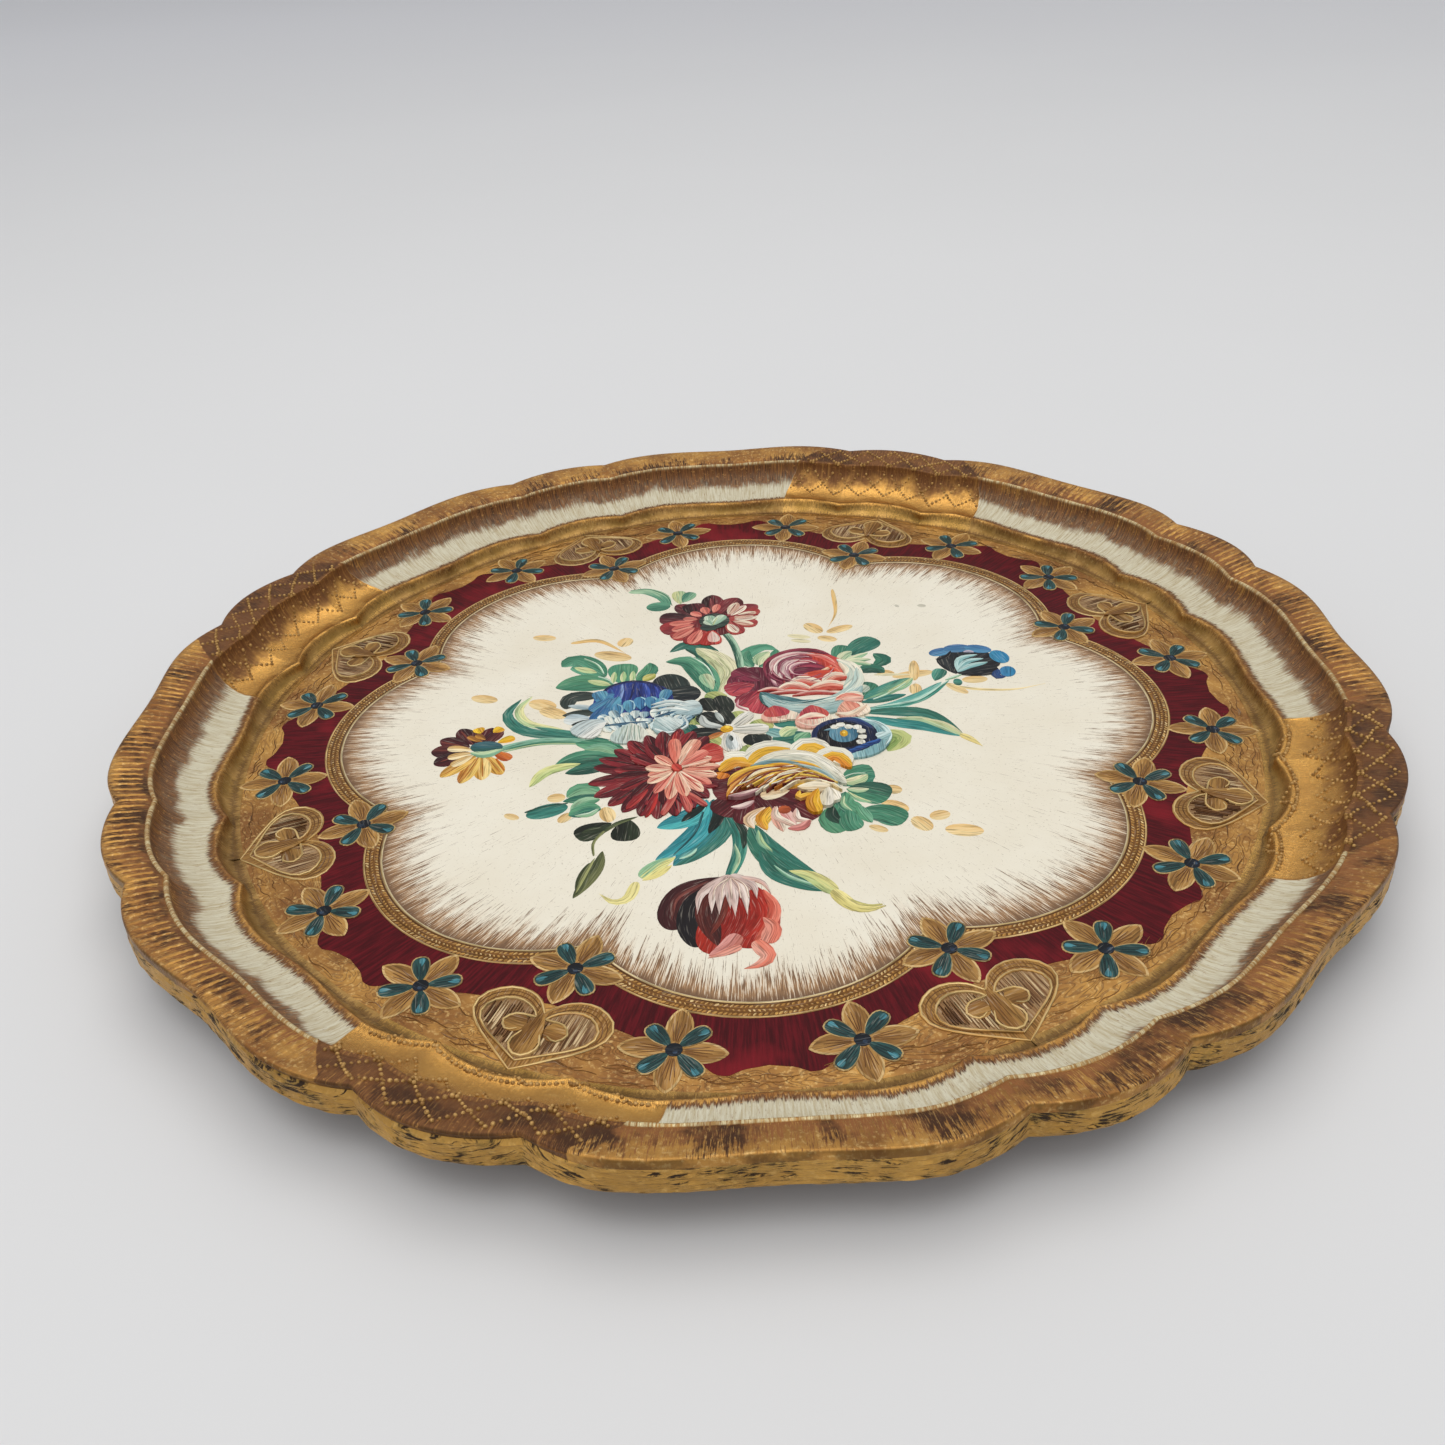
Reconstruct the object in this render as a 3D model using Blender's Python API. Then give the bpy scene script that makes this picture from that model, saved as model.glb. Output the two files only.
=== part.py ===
"""A round scalloped serving tray of gilded and painted wood, +Z up, resting on z = 0.

The tray is a flat plywood panel let up into a flared rim. The rim is two courses of wood: a lower
ring of eight glued blocks, and a moulded capping of four quarters laid over them with its joints
staggered. The outline and the mouldings repeat eight times round the tray: a small lobe between two
notches, then a wide wave. Lengths are in metres, written in millimetres times MM.
"""

import math

import bmesh
import bpy

MM = 0.001

# Driving dimensions.
OVERALL_RADIUS = 191.5 * MM  # to the crests of the outline
FIELD_HEIGHT = 7.0 * MM  # top of the flat field above the table
FIELD_RADIUS = 158.8 * MM  # where the field meets the wall under the bead
BEAD_RADIUS, BEAD_RISE = 164.2 * MM, 4.0 * MM  # moulded edge of the well, above the field
LINE_RADIUS, LINE_RISE = 179.8 * MM, 14.8 * MM  # raised line between the hollow and the lip
LIP_RISE = 17.2 * MM  # crown of the outer lip above the field
EDGE_HEIGHT = 10.4 * MM  # height of the vertical side of the rim
PANEL_RADIUS = 163.5 * MM
FOOT_WIDTH = 4.5 * MM  # flat ring under the blocks, outside the panel
CAPPING_DEPTH = 2.6 * MM  # thickness of the capping course
GLUE_GAP = 0.3 * MM  # between pieces that touch

# The outline repeats REPEATS times. Angles are measured from the middle of a small lobe.
REPEATS = 8
REPEAT_ANGLE = 360.0 / REPEATS
FIRST_LOBE = 22.5  # degrees from +X
NOTCH_ANGLE = 6.25
CREST_ANGLE = 12.5
TROUGH_DEPTH = 0.7  # depth of the wide wave's trough, as a share of a notch
EDGE_NOTCH, LINE_NOTCH, BEAD_NOTCH, FIELD_NOTCH = 4.0 * MM, 2.6 * MM, 3.8 * MM, 0.8 * MM
CAPPING_QUARTERS = 4

# Where the sections of a half repeat stand, in degrees from the lobe's middle.
STATIONS = (0.0, 4.2, NOTCH_ANGLE, 8.8, CREST_ANGLE, 17.5, REPEAT_ANGLE / 2)
PANEL_SIDES = 96
HOLLOW_STEPS = 4

POPLAR = ("bare_poplar", (0.62, 0.44, 0.26), 0.75, 0.0)
PLYWOOD = ("painted_plywood", (0.87, 0.84, 0.72), 0.4, 0.0)
GILDING = ("aged_gilding", (0.62, 0.42, 0.15), 0.38, 0.65)


def clear_scene():
    for obj in list(bpy.data.objects):
        bpy.data.objects.remove(obj, do_unlink=True)


def material(name, colour, roughness, metallic):
    made = bpy.data.materials.new(name)
    made.use_nodes = True
    shader = made.node_tree.nodes["Principled BSDF"]
    shader.inputs["Base Color"].default_value = (*colour, 1.0)
    shader.inputs["Roughness"].default_value = roughness
    shader.inputs["Metallic"].default_value = metallic
    return made


def scallop(angle):
    """How far the outline is drawn in at this angle: 0 on a crest, 1 at the bottom of a notch."""
    away = abs((angle - FIRST_LOBE + REPEAT_ANGLE / 2) % REPEAT_ANGLE - REPEAT_ANGLE / 2)
    if away <= NOTCH_ANGLE:
        return (away / NOTCH_ANGLE) ** 2
    if away <= CREST_ANGLE:
        return ((CREST_ANGLE - away) / (CREST_ANGLE - NOTCH_ANGLE)) ** 2
    along = (away - CREST_ANGLE) / (REPEAT_ANGLE / 2 - CREST_ANGLE)
    return TROUGH_DEPTH * along * along * (3 - 2 * along)


def station_angles(start, end):
    """The angles of the sections strictly between start and end, densest round the notches."""
    middles = [FIRST_LOBE + repeat * REPEAT_ANGLE for repeat in range(-1, 2 * REPEATS)]
    angles = {round(middle + side * away, 4) for middle in middles for away in STATIONS for side in (-1, 1)}
    return [angle for angle in sorted(angles) if start + 0.5 < angle < end - 0.5]


def hollow(drop):
    """The hollow between bead and line, lowered by drop: flat at the bead, steep at the line."""
    points = []
    for step in range(1, HOLLOW_STEPS + 1):
        share = step / HOLLOW_STEPS
        turn = math.pi / 2 * share
        radius = BEAD_RADIUS + (LINE_RADIUS - BEAD_RADIUS) * math.sin(turn) ** 0.8
        rise = BEAD_RISE + (LINE_RISE - BEAD_RISE) * (1 - math.cos(turn)) ** 0.8
        notch = BEAD_NOTCH + (LINE_NOTCH - BEAD_NOTCH) * share
        points.append((radius + 0.7 * drop * share, FIELD_HEIGHT + rise - drop, notch))
    return points


def capping_section():
    """(radius, height, notch depth) round the capping course, from the foot of its inner wall out."""
    foot = FIELD_HEIGHT + GLUE_GAP
    bead = FIELD_HEIGHT + BEAD_RISE
    lip = FIELD_HEIGHT + LIP_RISE
    inner_wall = [
        (FIELD_RADIUS, foot, FIELD_NOTCH),
        (FIELD_RADIUS + 2.8 * MM, foot + 1.2 * MM, 0.5 * (FIELD_NOTCH + BEAD_NOTCH)),
        (BEAD_RADIUS - 0.8 * MM, bead - 0.4 * MM, BEAD_NOTCH),
        (BEAD_RADIUS, bead + 0.4 * MM, BEAD_NOTCH),
    ]
    lip_top = [
        (LINE_RADIUS + 2.5 * MM, FIELD_HEIGHT + LINE_RISE + 0.6 * MM, LINE_NOTCH),
        (OVERALL_RADIUS - 2.6 * MM, lip, EDGE_NOTCH),
        (OVERALL_RADIUS - 0.7 * MM, lip - 0.5 * MM, EDGE_NOTCH),
        (OVERALL_RADIUS, lip - 1.5 * MM, EDGE_NOTCH),
    ]
    underside = [
        (OVERALL_RADIUS, lip - CAPPING_DEPTH, EDGE_NOTCH),
        *reversed(hollow(CAPPING_DEPTH)),
        (PANEL_RADIUS, foot, 0.0),
    ]
    return inner_wall + hollow(0.0) + lip_top + underside


def block_section():
    """(radius, height, notch depth) round a lower block, from its bed under the capping outwards."""
    lip = FIELD_HEIGHT + LIP_RISE
    seat = CAPPING_DEPTH + GLUE_GAP
    side_bottom = lip - EDGE_HEIGHT
    inner_wall = PANEL_RADIUS + GLUE_GAP
    foot_edge = inner_wall + FOOT_WIDTH
    bed = [
        (inner_wall, FIELD_HEIGHT, 0.0),
        *hollow(seat),
        (OVERALL_RADIUS, lip - seat, EDGE_NOTCH),
    ]
    back = [
        (OVERALL_RADIUS, side_bottom + 0.8 * MM, EDGE_NOTCH),
        (OVERALL_RADIUS - 1.2 * MM, side_bottom, EDGE_NOTCH),
        (OVERALL_RADIUS - 8.0 * MM, side_bottom - 3.2 * MM, LINE_NOTCH),
        (foot_edge + 6.0 * MM, 4.2 * MM, 0.3 * LINE_NOTCH),
        (foot_edge + 1.2 * MM, 0.8 * MM, 0.0),
        (foot_edge, 0.0, 0.0),
        (inner_wall, 0.0, 0.0),
    ]
    return bed + back


def moulding(name, section, start, end, look, collection):
    """A length of moulding from start to end degrees: a loft, as the notches change every section."""
    trim = math.degrees(GLUE_GAP / 2 / FIELD_RADIUS)
    angles = [start + trim, *station_angles(start, end), end - trim]
    shape = bmesh.new()
    rings = []
    for angle in angles:
        turn = math.radians(angle)
        ring = []
        for radius, height, notch in section:
            reach = radius - notch * scallop(angle)
            ring.append(shape.verts.new((reach * math.cos(turn), reach * math.sin(turn), height)))
        rings.append(ring)
    for near, far in zip(rings, rings[1:]):
        for here in range(len(section)):
            # The diagonal runs outwards in every piece, so the courses stay parallel where they twist.
            low, high = sorted((here - 1, here), key=lambda point: section[point][0])
            shape.faces.new((near[low], near[high], far[high]))
            shape.faces.new((near[low], far[high], far[low]))
    shape.faces.new(rings[0])
    shape.faces.new(reversed(rings[-1]))
    bmesh.ops.recalc_face_normals(shape, faces=shape.faces)
    mesh = bpy.data.meshes.new(name)
    shape.to_mesh(mesh)
    shape.free()
    mesh.shade_smooth()
    mesh.set_sharp_from_angle(angle=math.radians(35))
    mesh.materials.append(look)
    collection.objects.link(bpy.data.objects.new(name, mesh))


def base_panel(collection):
    bpy.ops.mesh.primitive_cylinder_add(
        vertices=PANEL_SIDES, radius=PANEL_RADIUS, depth=FIELD_HEIGHT, location=(0, 0, FIELD_HEIGHT / 2)
    )
    panel = bpy.context.active_object
    panel.name = panel.data.name = "base_panel"
    panel.data.materials.append(material(*PLYWOOD))
    for holder in list(panel.users_collection):
        holder.objects.unlink(panel)
    collection.objects.link(panel)


def main():
    clear_scene()
    collection = bpy.data.collections.new("painted_tray")
    bpy.context.scene.collection.children.link(collection)
    base_panel(collection)
    for number in range(1, REPEATS + 1):
        start = (number - 1) * REPEAT_ANGLE
        look = material(f"{POPLAR[0]}_{number}", *POPLAR[1:])
        moulding(f"rim_block_{number}", block_section(), start, start + REPEAT_ANGLE, look, collection)
    quarter = 360.0 / CAPPING_QUARTERS
    for number in range(1, CAPPING_QUARTERS + 1):
        start = FIRST_LOBE + (number - 1) * quarter
        look = material(f"{GILDING[0]}_{number}", *GILDING[1:])
        moulding(f"rim_capping_{number}", capping_section(), start, start + quarter, look, collection)


main()
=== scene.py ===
"""The looks of a round tray of gilded and painted wood.

The rim is gesso and gold leaf over carved wood, antiqued with brown glaze, with pale panels between
four gilt cartouches. The field carries a burgundy band with hearts and small flowers round a cream
ground, and a painted bouquet. Every brush stroke is a thin raised body of its own. Lengths are in
millimetres until a mesh is made, and angles are in degrees from +X.
"""
import math
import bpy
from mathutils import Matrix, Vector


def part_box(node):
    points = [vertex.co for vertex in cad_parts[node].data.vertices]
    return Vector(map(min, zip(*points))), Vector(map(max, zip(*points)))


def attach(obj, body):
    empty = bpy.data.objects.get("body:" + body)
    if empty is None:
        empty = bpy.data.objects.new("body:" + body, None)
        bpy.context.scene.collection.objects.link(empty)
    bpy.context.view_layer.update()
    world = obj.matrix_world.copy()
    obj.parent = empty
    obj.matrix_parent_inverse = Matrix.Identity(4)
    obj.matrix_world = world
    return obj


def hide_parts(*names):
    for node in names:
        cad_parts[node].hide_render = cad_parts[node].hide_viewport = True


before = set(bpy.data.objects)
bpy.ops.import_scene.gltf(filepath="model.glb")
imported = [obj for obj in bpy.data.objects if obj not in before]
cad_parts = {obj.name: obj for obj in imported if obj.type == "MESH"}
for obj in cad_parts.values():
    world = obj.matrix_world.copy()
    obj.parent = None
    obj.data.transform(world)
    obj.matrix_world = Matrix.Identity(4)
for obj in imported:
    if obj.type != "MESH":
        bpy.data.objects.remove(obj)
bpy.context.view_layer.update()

from types import SimpleNamespace

import bpy
import numpy as np
from mathutils import Matrix, Vector

MM = 0.001
ROOT = "root"
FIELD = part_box("base_panel")[1][2] / MM  # height of the field's wooden top
RIM_RADIUS = 191.5  # to the crests of the outline
RIM_TOP = 17.2  # crown of the lip, above the field

# ---------------------------------------------------------------- outline

REPEATS = 8
REPEAT = 360.0 / REPEATS
FIRST_HEART = REPEAT / 2  # the hearts, and the small lobes of the outline, stand on these axes
NOTCH = 6.25  # degrees from a heart's axis to the outline's notches and crests
CREST = 12.5
TROUGH_DEPTH = 0.7  # of the shallow dip between two hearts, as a share of a notch
CARTOUCHES = (68.0, 158.0, 248.0, 337.5)  # angles of their middles


def from_heart(angle):
    """Signed degrees from the nearest heart's axis."""
    return (angle - FIRST_HEART + REPEAT / 2) % REPEAT - REPEAT / 2


def scallop(angle):
    """How far the outline is drawn in: 0 on a crest, 1 in a notch."""
    away = np.abs(from_heart(np.asarray(angle, float)))
    lobe = (away / NOTCH) ** 2
    flank = ((CREST - away) / (CREST - NOTCH)) ** 2
    along = np.clip((away - CREST) / (REPEAT / 2 - CREST), 0, 1)
    wave = TROUGH_DEPTH * along * along * (3 - 2 * along)
    return np.where(away <= NOTCH, lobe, np.where(away <= CREST, flank, wave))


def smooth(value, low, high):
    """0 below low, 1 above high, and a smooth ramp between them."""
    share = np.clip((value - low) / (high - low), 0, 1)
    return share * share * (3 - 2 * share)


def ripple(angle, waves, seed):
    """A slow wander round the tray, about -1 to 1, made of whole waves so that it closes."""
    picks = np.random.default_rng(seed)
    total = np.zeros_like(np.asarray(angle, float))
    for wave in waves:
        total += np.sin(np.radians(angle) * wave + picks.uniform(0, 2 * math.pi))
    return total / len(waves)


# ---------------------------------------------------------------- meshes


def make_piece(name, points, faces, material, values=None, sharp=35.0):
    """A mesh object from points in millimetres, with one float, vector or colour per point in values."""
    mesh = bpy.data.meshes.new(name)
    mesh.from_pydata((np.asarray(points, float) * MM).tolist(), [], faces)
    mesh.update()
    for key, value in (values or {}).items():
        value = np.asarray(value, np.float32)
        if value.ndim == 1:
            mesh.attributes.new(key, "FLOAT", "POINT").data.foreach_set("value", value)
        elif value.shape[1] == 3:
            mesh.attributes.new(key, "FLOAT_VECTOR", "POINT").data.foreach_set("vector", value.ravel())
        else:
            mesh.attributes.new(key, "FLOAT_COLOR", "POINT").data.foreach_set("color", value.ravel())
    mesh.shade_smooth()
    mesh.set_sharp_from_angle(angle=math.radians(sharp))
    mesh.materials.append(material)
    piece = bpy.data.objects.new(name, mesh)
    bpy.context.scene.collection.objects.link(piece)
    return piece


def tube_faces(rings, around, closed=False, start=0):
    """Quads between rings of points, with the end rings capped unless the rings close on themselves."""
    faces = []
    spans = rings if closed else rings - 1
    for ring in range(spans):
        near, far = start + ring * around, start + (ring + 1) % rings * around
        for here in range(around):
            after = (here + 1) % around
            faces.append((near + here, far + here, far + after, near + after))
    if not closed:
        faces.append(tuple(range(start, start + around)))
        last = start + (rings - 1) * around
        faces.append(tuple(range(last + around - 1, last - 1, -1)))
    return faces


def ride(piece, slot, *replaced):
    """Fixes a piece to the tray's body, in place of the CAD nodes it stands for. The slot is not used."""
    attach(piece, ROOT)
    if replaced:
        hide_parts(*replaced)
    return piece


# ---------------------------------------------------------------- materials


def rgb(code):
    """The linear colour of a hex code."""
    parts = [int(code[place : place + 2], 16) / 255 for place in (0, 2, 4)]
    return tuple(p / 12.92 if p <= 0.04045 else ((p + 0.055) / 1.055) ** 2.4 for p in parts) + (1.0,)


STREAK_RADIUS = 165.0  # where streaks have the width or length asked for


class Shade:
    """A material being built. Each method adds a node and gives back its output."""

    def __init__(self, name, roughness=0.5, metallic=0.0, specular=0.5):
        self.material = bpy.data.materials.new(name)
        self.material.use_nodes = True
        self.tree = self.material.node_tree
        self.shader = self.tree.nodes["Principled BSDF"]
        self.shader.inputs["Roughness"].default_value = roughness
        self.shader.inputs["Metallic"].default_value = metallic
        self.shader.inputs["Specular IOR Level"].default_value = specular
        self.place = self.tree.nodes.new("ShaderNodeTexCoord").outputs["Object"]

    def node(self, kind, inputs=(), **settings):
        made = self.tree.nodes.new(kind)
        for key, value in settings.items():
            setattr(made, key, value)
        for key, value in dict(inputs).items():
            self.put(made.inputs[key], value)
        return made

    def put(self, socket, value):
        if isinstance(value, bpy.types.NodeSocket):
            self.tree.links.new(value, socket)
        else:
            socket.default_value = value

    def math(self, operation, first, second=0.0, third=0.0):
        inputs = {0: first, 1: second, 2: third}
        return self.node("ShaderNodeMath", inputs, operation=operation).outputs[0]

    def times(self, first, second):
        return self.math("MULTIPLY", first, second)

    def plus(self, first, second):
        return self.math("ADD", first, second)

    def vector(self, operation, first, second=(0, 0, 0)):
        made = self.node("ShaderNodeVectorMath", {0: first}, operation=operation)
        self.put(made.inputs["Scale" if operation == "SCALE" else 1], second)
        return made.outputs["Value" if operation in ("LENGTH", "DOT_PRODUCT") else "Vector"]

    def value(self, name):
        return self.node("ShaderNodeAttribute", attribute_name=name).outputs["Fac"]

    def colour(self, name):
        return self.node("ShaderNodeAttribute", attribute_name=name).outputs["Color"]

    def triple(self, name):
        return self.node("ShaderNodeAttribute", attribute_name=name).outputs["Vector"]

    def noise(self, scale, detail=3.0, rough=0.5, at=None, twist=0.0):
        inputs = {"Vector": at or self.place, "Scale": scale, "Detail": detail, "Roughness": rough}
        inputs["Distortion"] = twist
        return self.node("ShaderNodeTexNoise", inputs).outputs["Fac"]

    def step(self, value, low, high):
        inputs = {"Value": value, "From Min": low, "From Max": high}
        return self.node("ShaderNodeMapRange", inputs, interpolation_type="SMOOTHSTEP").outputs[0]

    def band(self, value, low, high, soft):
        """1 between low and high, fading over soft at either end."""
        inner = self.step(value, low - soft, low + soft)
        outer = self.step(value, high + soft, high - soft)
        return self.times(inner, outer)

    def mix(self, factor, first, second):
        made = self.node("ShaderNodeMix", data_type="RGBA", clamp_factor=True)
        self.put(made.inputs[0], factor)
        self.put(made.inputs[6], first)
        self.put(made.inputs[7], second)
        return made.outputs[2]

    def between(self, factor, first, second):
        """A number from first to second."""
        inputs = {"Value": factor, "To Min": first, "To Max": second}
        return self.node("ShaderNodeMapRange", inputs).outputs[0]

    def radial(self, across, along):
        """Coordinates that stretch noise into streaks pointing at the tray's centre, in millimetres."""
        flat = self.vector("MULTIPLY", self.place, (1.0, 1.0, 0.0))
        around = self.vector("SCALE", self.vector("NORMALIZE", flat), STREAK_RADIUS / across)
        out = self.times(self.vector("LENGTH", flat), 1.0 / (along * MM))
        lift = self.node("ShaderNodeCombineXYZ", {"Z": out}).outputs[0]
        return self.vector("ADD", around, lift)

    def turning(self, across, along):
        """The same, for streaks that run round the tray."""
        flat = self.vector("MULTIPLY", self.place, (1.0, 1.0, 0.0))
        around = self.vector("SCALE", self.vector("NORMALIZE", flat), STREAK_RADIUS / along)
        height = self.vector("DOT_PRODUCT", self.place, (0.0, 0.0, 1.0 / (across * MM)))
        out = self.times(self.vector("LENGTH", flat), 1.0 / (across * MM))
        total = self.plus(height, out)
        lift = self.node("ShaderNodeCombineXYZ", {"Z": total}).outputs[0]
        return self.vector("ADD", around, lift)

    def finish(self, colour, roughness=None, metallic=None, height=None, depth=0.1):
        """Puts the outputs on the shader; height is relief, depth its size in millimetres."""
        self.put(self.shader.inputs["Base Color"], colour)
        if roughness is not None:
            self.put(self.shader.inputs["Roughness"], roughness)
        if metallic is not None:
            self.put(self.shader.inputs["Metallic"], metallic)
        if height is not None:
            inputs = {"Height": height, "Distance": depth * MM, "Strength": 1.0}
            self.put(self.shader.inputs["Normal"], self.node("ShaderNodeBump", inputs).outputs[0])
        return self.material


GOLD = rgb("c6944b")
PALE_GOLD = rgb("e8c27e")
OCHRE = rgb("8a5c2e")
BROWN = rgb("855731")
DARK = rgb("4a2d18")
OLIVE = rgb("6d6030")
PANEL_WHITE = rgb("d2ccb4")
CREAM = rgb("e9e3d2")
BRISTLE_LANE = 0.55  # width of one bristle's lane in a brush stroke


def gilding(shade, fine=1.0):
    """Gold leaf over red-brown bole: its colour, and the speckle that breaks it up."""
    cloud = shade.noise(60.0, 5.0, 0.6)
    speck = shade.noise(900.0 * fine, 3.0, 0.6)
    leaf = shade.mix(shade.step(cloud, 0.35, 0.7), OCHRE, GOLD)
    glint = shade.times(shade.step(speck, 0.5, 0.75), 0.6)
    leaf = shade.mix(glint, leaf, PALE_GOLD)
    return leaf, speck


# Radii of the marks on the capping: the bead, the raised line and the lip.
FOOT_FOLD = (158.4, 160.4)
GUTTER_END = (163.9, 162.5)
INNER_FOLD = (163.0, 163.5)
OUTER_FOLD = (164.9, 165.4)
INNER_GLAZE = (164.9, 166.3)
WHITE_BAND = (165.6, 178.2)
OUTER_GLAZE = (174.6, 180.5)
CARTOUCHE_GLAZE = (172.5, 178.5)
RAISED_LINE = (179.3, 180.5)
LIP_START = (180.2, 181.0)
# where painted shade darkens the lip's outer corner
SHADED_LIP_CORNER = (190.8, 191.4)


def rim_marks(shade):
    """What the layers of the capping share: its attributes, its noises and two jagged radii."""
    marks = SimpleNamespace(across=shade.value("across"), rib=shade.value("rib"), worn=shade.value("worn"))
    marks.gilt = shade.step(shade.value("border"), -0.2, 0.2)
    marks.pale = shade.math("SUBTRACT", 1.0, marks.gilt)
    marks.fine = shade.noise(1.0, 4.0, 0.65, at=shade.radial(0.28, 3.0))
    marks.bristle = shade.noise(1.0, 3.0, 0.6, at=shade.radial(0.55, 7.0))
    marks.patch = shade.noise(75.0, 4.0, 0.65)
    marks.leaf, marks.speck = gilding(shade)
    sway = shade.math("MULTIPLY_ADD", marks.bristle, 4.0, -2.0)
    jagged = shade.math("MULTIPLY_ADD", marks.fine, 4.0, -2.0)
    marks.edge = shade.plus(marks.across, shade.plus(sway, jagged))
    marks.long_edge = shade.plus(marks.edge, shade.math("MULTIPLY_ADD", marks.patch, 8.0, -4.0))
    return marks


def hollow_layer(shade, marks):
    """The hollow: pale panels and gilt cartouches under brown glaze, with a painted highlight on the
    cartouches' leaf. Gives colour and paint cover.
    """
    inner = shade.times(marks.pale, shade.band(marks.edge, *INNER_GLAZE, 0.6))
    outer = shade.times(marks.pale, shade.band(marks.long_edge, *OUTER_GLAZE, 1.3))
    mottled = shade.math("MULTIPLY_ADD", marks.patch, 12.0, shade.math("SUBTRACT", marks.long_edge, 6.0))
    behind_lattice = shade.times(marks.gilt, shade.step(mottled, *CARTOUCHE_GLAZE))
    glaze = shade.math("MAXIMUM", inner, shade.math("MAXIMUM", outer, behind_lattice))
    brown = shade.mix(shade.step(marks.fine, 0.4, 0.6), DARK, BROWN)
    brown = shade.mix(shade.times(marks.gilt, 0.6), brown, rgb("643a1a"))
    brown = shade.mix(shade.step(marks.speck, 0.58, 0.7), brown, rgb("a2723c"))
    panel = shade.mix(shade.step(marks.bristle, 0.35, 0.7), PANEL_WHITE, rgb("b9ab8a"))
    panel = shade.mix(shade.step(marks.fine, 0.6, 0.72), panel, BROWN)
    fleck = shade.step(shade.noise(420.0, 4.0, 0.7), 0.6, 0.7)
    panel = shade.mix(shade.times(fleck, 0.4), panel, rgb("94805c"))
    # Painted highlight: the leaf in the cartouches is mixed toward a lighter gold.
    leaf = shade.mix(shade.times(marks.gilt, 0.6), marks.leaf, rgb("dfa957"))
    white = shade.times(shade.band(marks.edge, *WHITE_BAND, 0.5), marks.pale)
    dry = shade.between(shade.step(marks.bristle, 0.52, 0.68), 0.95, 0.62)
    colour = shade.mix(shade.times(glaze, dry), shade.mix(white, leaf, panel), brown)
    return colour, shade.math("MAXIMUM", white, glaze)


def lip_layer(shade, marks, under):
    """The lip: brown rubbed off the ribs and off the outer edge, and painted shade along its outer corner.
    Gives colour and paint cover.
    """
    outwards = shade.math("MULTIPLY_ADD", marks.across, 0.03, -5.6)
    rubbed = shade.plus(shade.plus(marks.fine, shade.times(marks.patch, 0.7)), outwards)
    rubbed = shade.plus(rubbed, shade.times(marks.rib, 0.55))
    rubbed = shade.plus(rubbed, shade.math("MULTIPLY_ADD", marks.gilt, -0.1, marks.worn))
    cover = shade.times(shade.step(marks.across, *LIP_START), shade.step(rubbed, 0.98, 0.8))
    brown = shade.mix(shade.step(marks.patch, 0.36, 0.6), rgb("40240f"), rgb("8a582e"))
    showing = shade.times(shade.step(marks.fine, 0.52, 0.66), 0.6)
    brown = shade.mix(showing, brown, rgb("b08a50"))
    brown = shade.mix(shade.times(marks.gilt, 0.55), brown, rgb("4a2c16"))
    # Painted shade: a dark band, in patches, along the lip's outer corner.
    corner = shade.times(shade.step(marks.across, *SHADED_LIP_CORNER), shade.step(marks.patch, 0.42, 0.56))
    colour = shade.mix(cover, under, brown)
    return shade.mix(shade.times(corner, 0.55), colour, rgb("33240f")), cover


def line_and_folds(shade, marks, under):
    """The worn raised line, the greenish gutter, and darker lines in the folds either side of the bead and at
    the gutter's foot.
    """
    line = shade.times(shade.band(marks.across, *RAISED_LINE, 0.15), shade.step(marks.fine, 0.66, 0.48))
    line_colour = shade.mix(shade.step(marks.bristle, 0.42, 0.6), rgb("a98450"), rgb("d5c79c"))
    colour = shade.mix(shade.times(line, marks.pale), under, line_colour)
    gutter = shade.step(marks.across, *GUTTER_END)
    green = shade.mix(shade.step(shade.noise(140.0, 4.0), 0.35, 0.65), rgb("76602e"), rgb("ab8a50"))
    colour = shade.mix(shade.times(gutter, 0.6), colour, green)
    bead = shade.plus(shade.band(marks.edge, *INNER_FOLD, 0.25), shade.band(marks.edge, *OUTER_FOLD, 0.3))
    fold = shade.plus(bead, shade.band(marks.edge, *FOOT_FOLD, 0.5))
    return shade.mix(shade.times(fold, 0.55), colour, DARK)


def rim_material():
    """The capping: gutter, bead, pale panels or gilt cartouches, raised line and ribbed lip."""
    shade = Shade("antiqued_gilding", roughness=0.4, specular=0.25)
    marks = rim_marks(shade)
    colour, painted = hollow_layer(shade, marks)
    colour, lip_cover = lip_layer(shade, marks, colour)
    colour = line_and_folds(shade, marks, colour)
    painted = shade.math("MAXIMUM", painted, lip_cover)
    metal = shade.math("MULTIPLY_ADD", marks.gilt, 0.2, shade.between(painted, 0.6, 0.05))
    rough = shade.math("MULTIPLY_ADD", marks.gilt, -0.12, shade.between(painted, 0.36, 0.6))
    relief = shade.plus(shade.times(marks.fine, 0.8), shade.times(marks.speck, 0.35))
    return shade.finish(colour, rough, metal, relief, 0.22)


def gesso_material():
    """The beads: raised gesso under pale worn leaf."""
    shade = Shade("gilt_gesso", roughness=0.45, specular=0.25)
    speck = shade.noise(700.0, 3.0, 0.6)
    colour = shade.mix(shade.step(speck, 0.4, 0.62), rgb("8e6836"), rgb("c49c5e"))
    return shade.finish(colour, None, 0.2, speck, 0.1)


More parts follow.
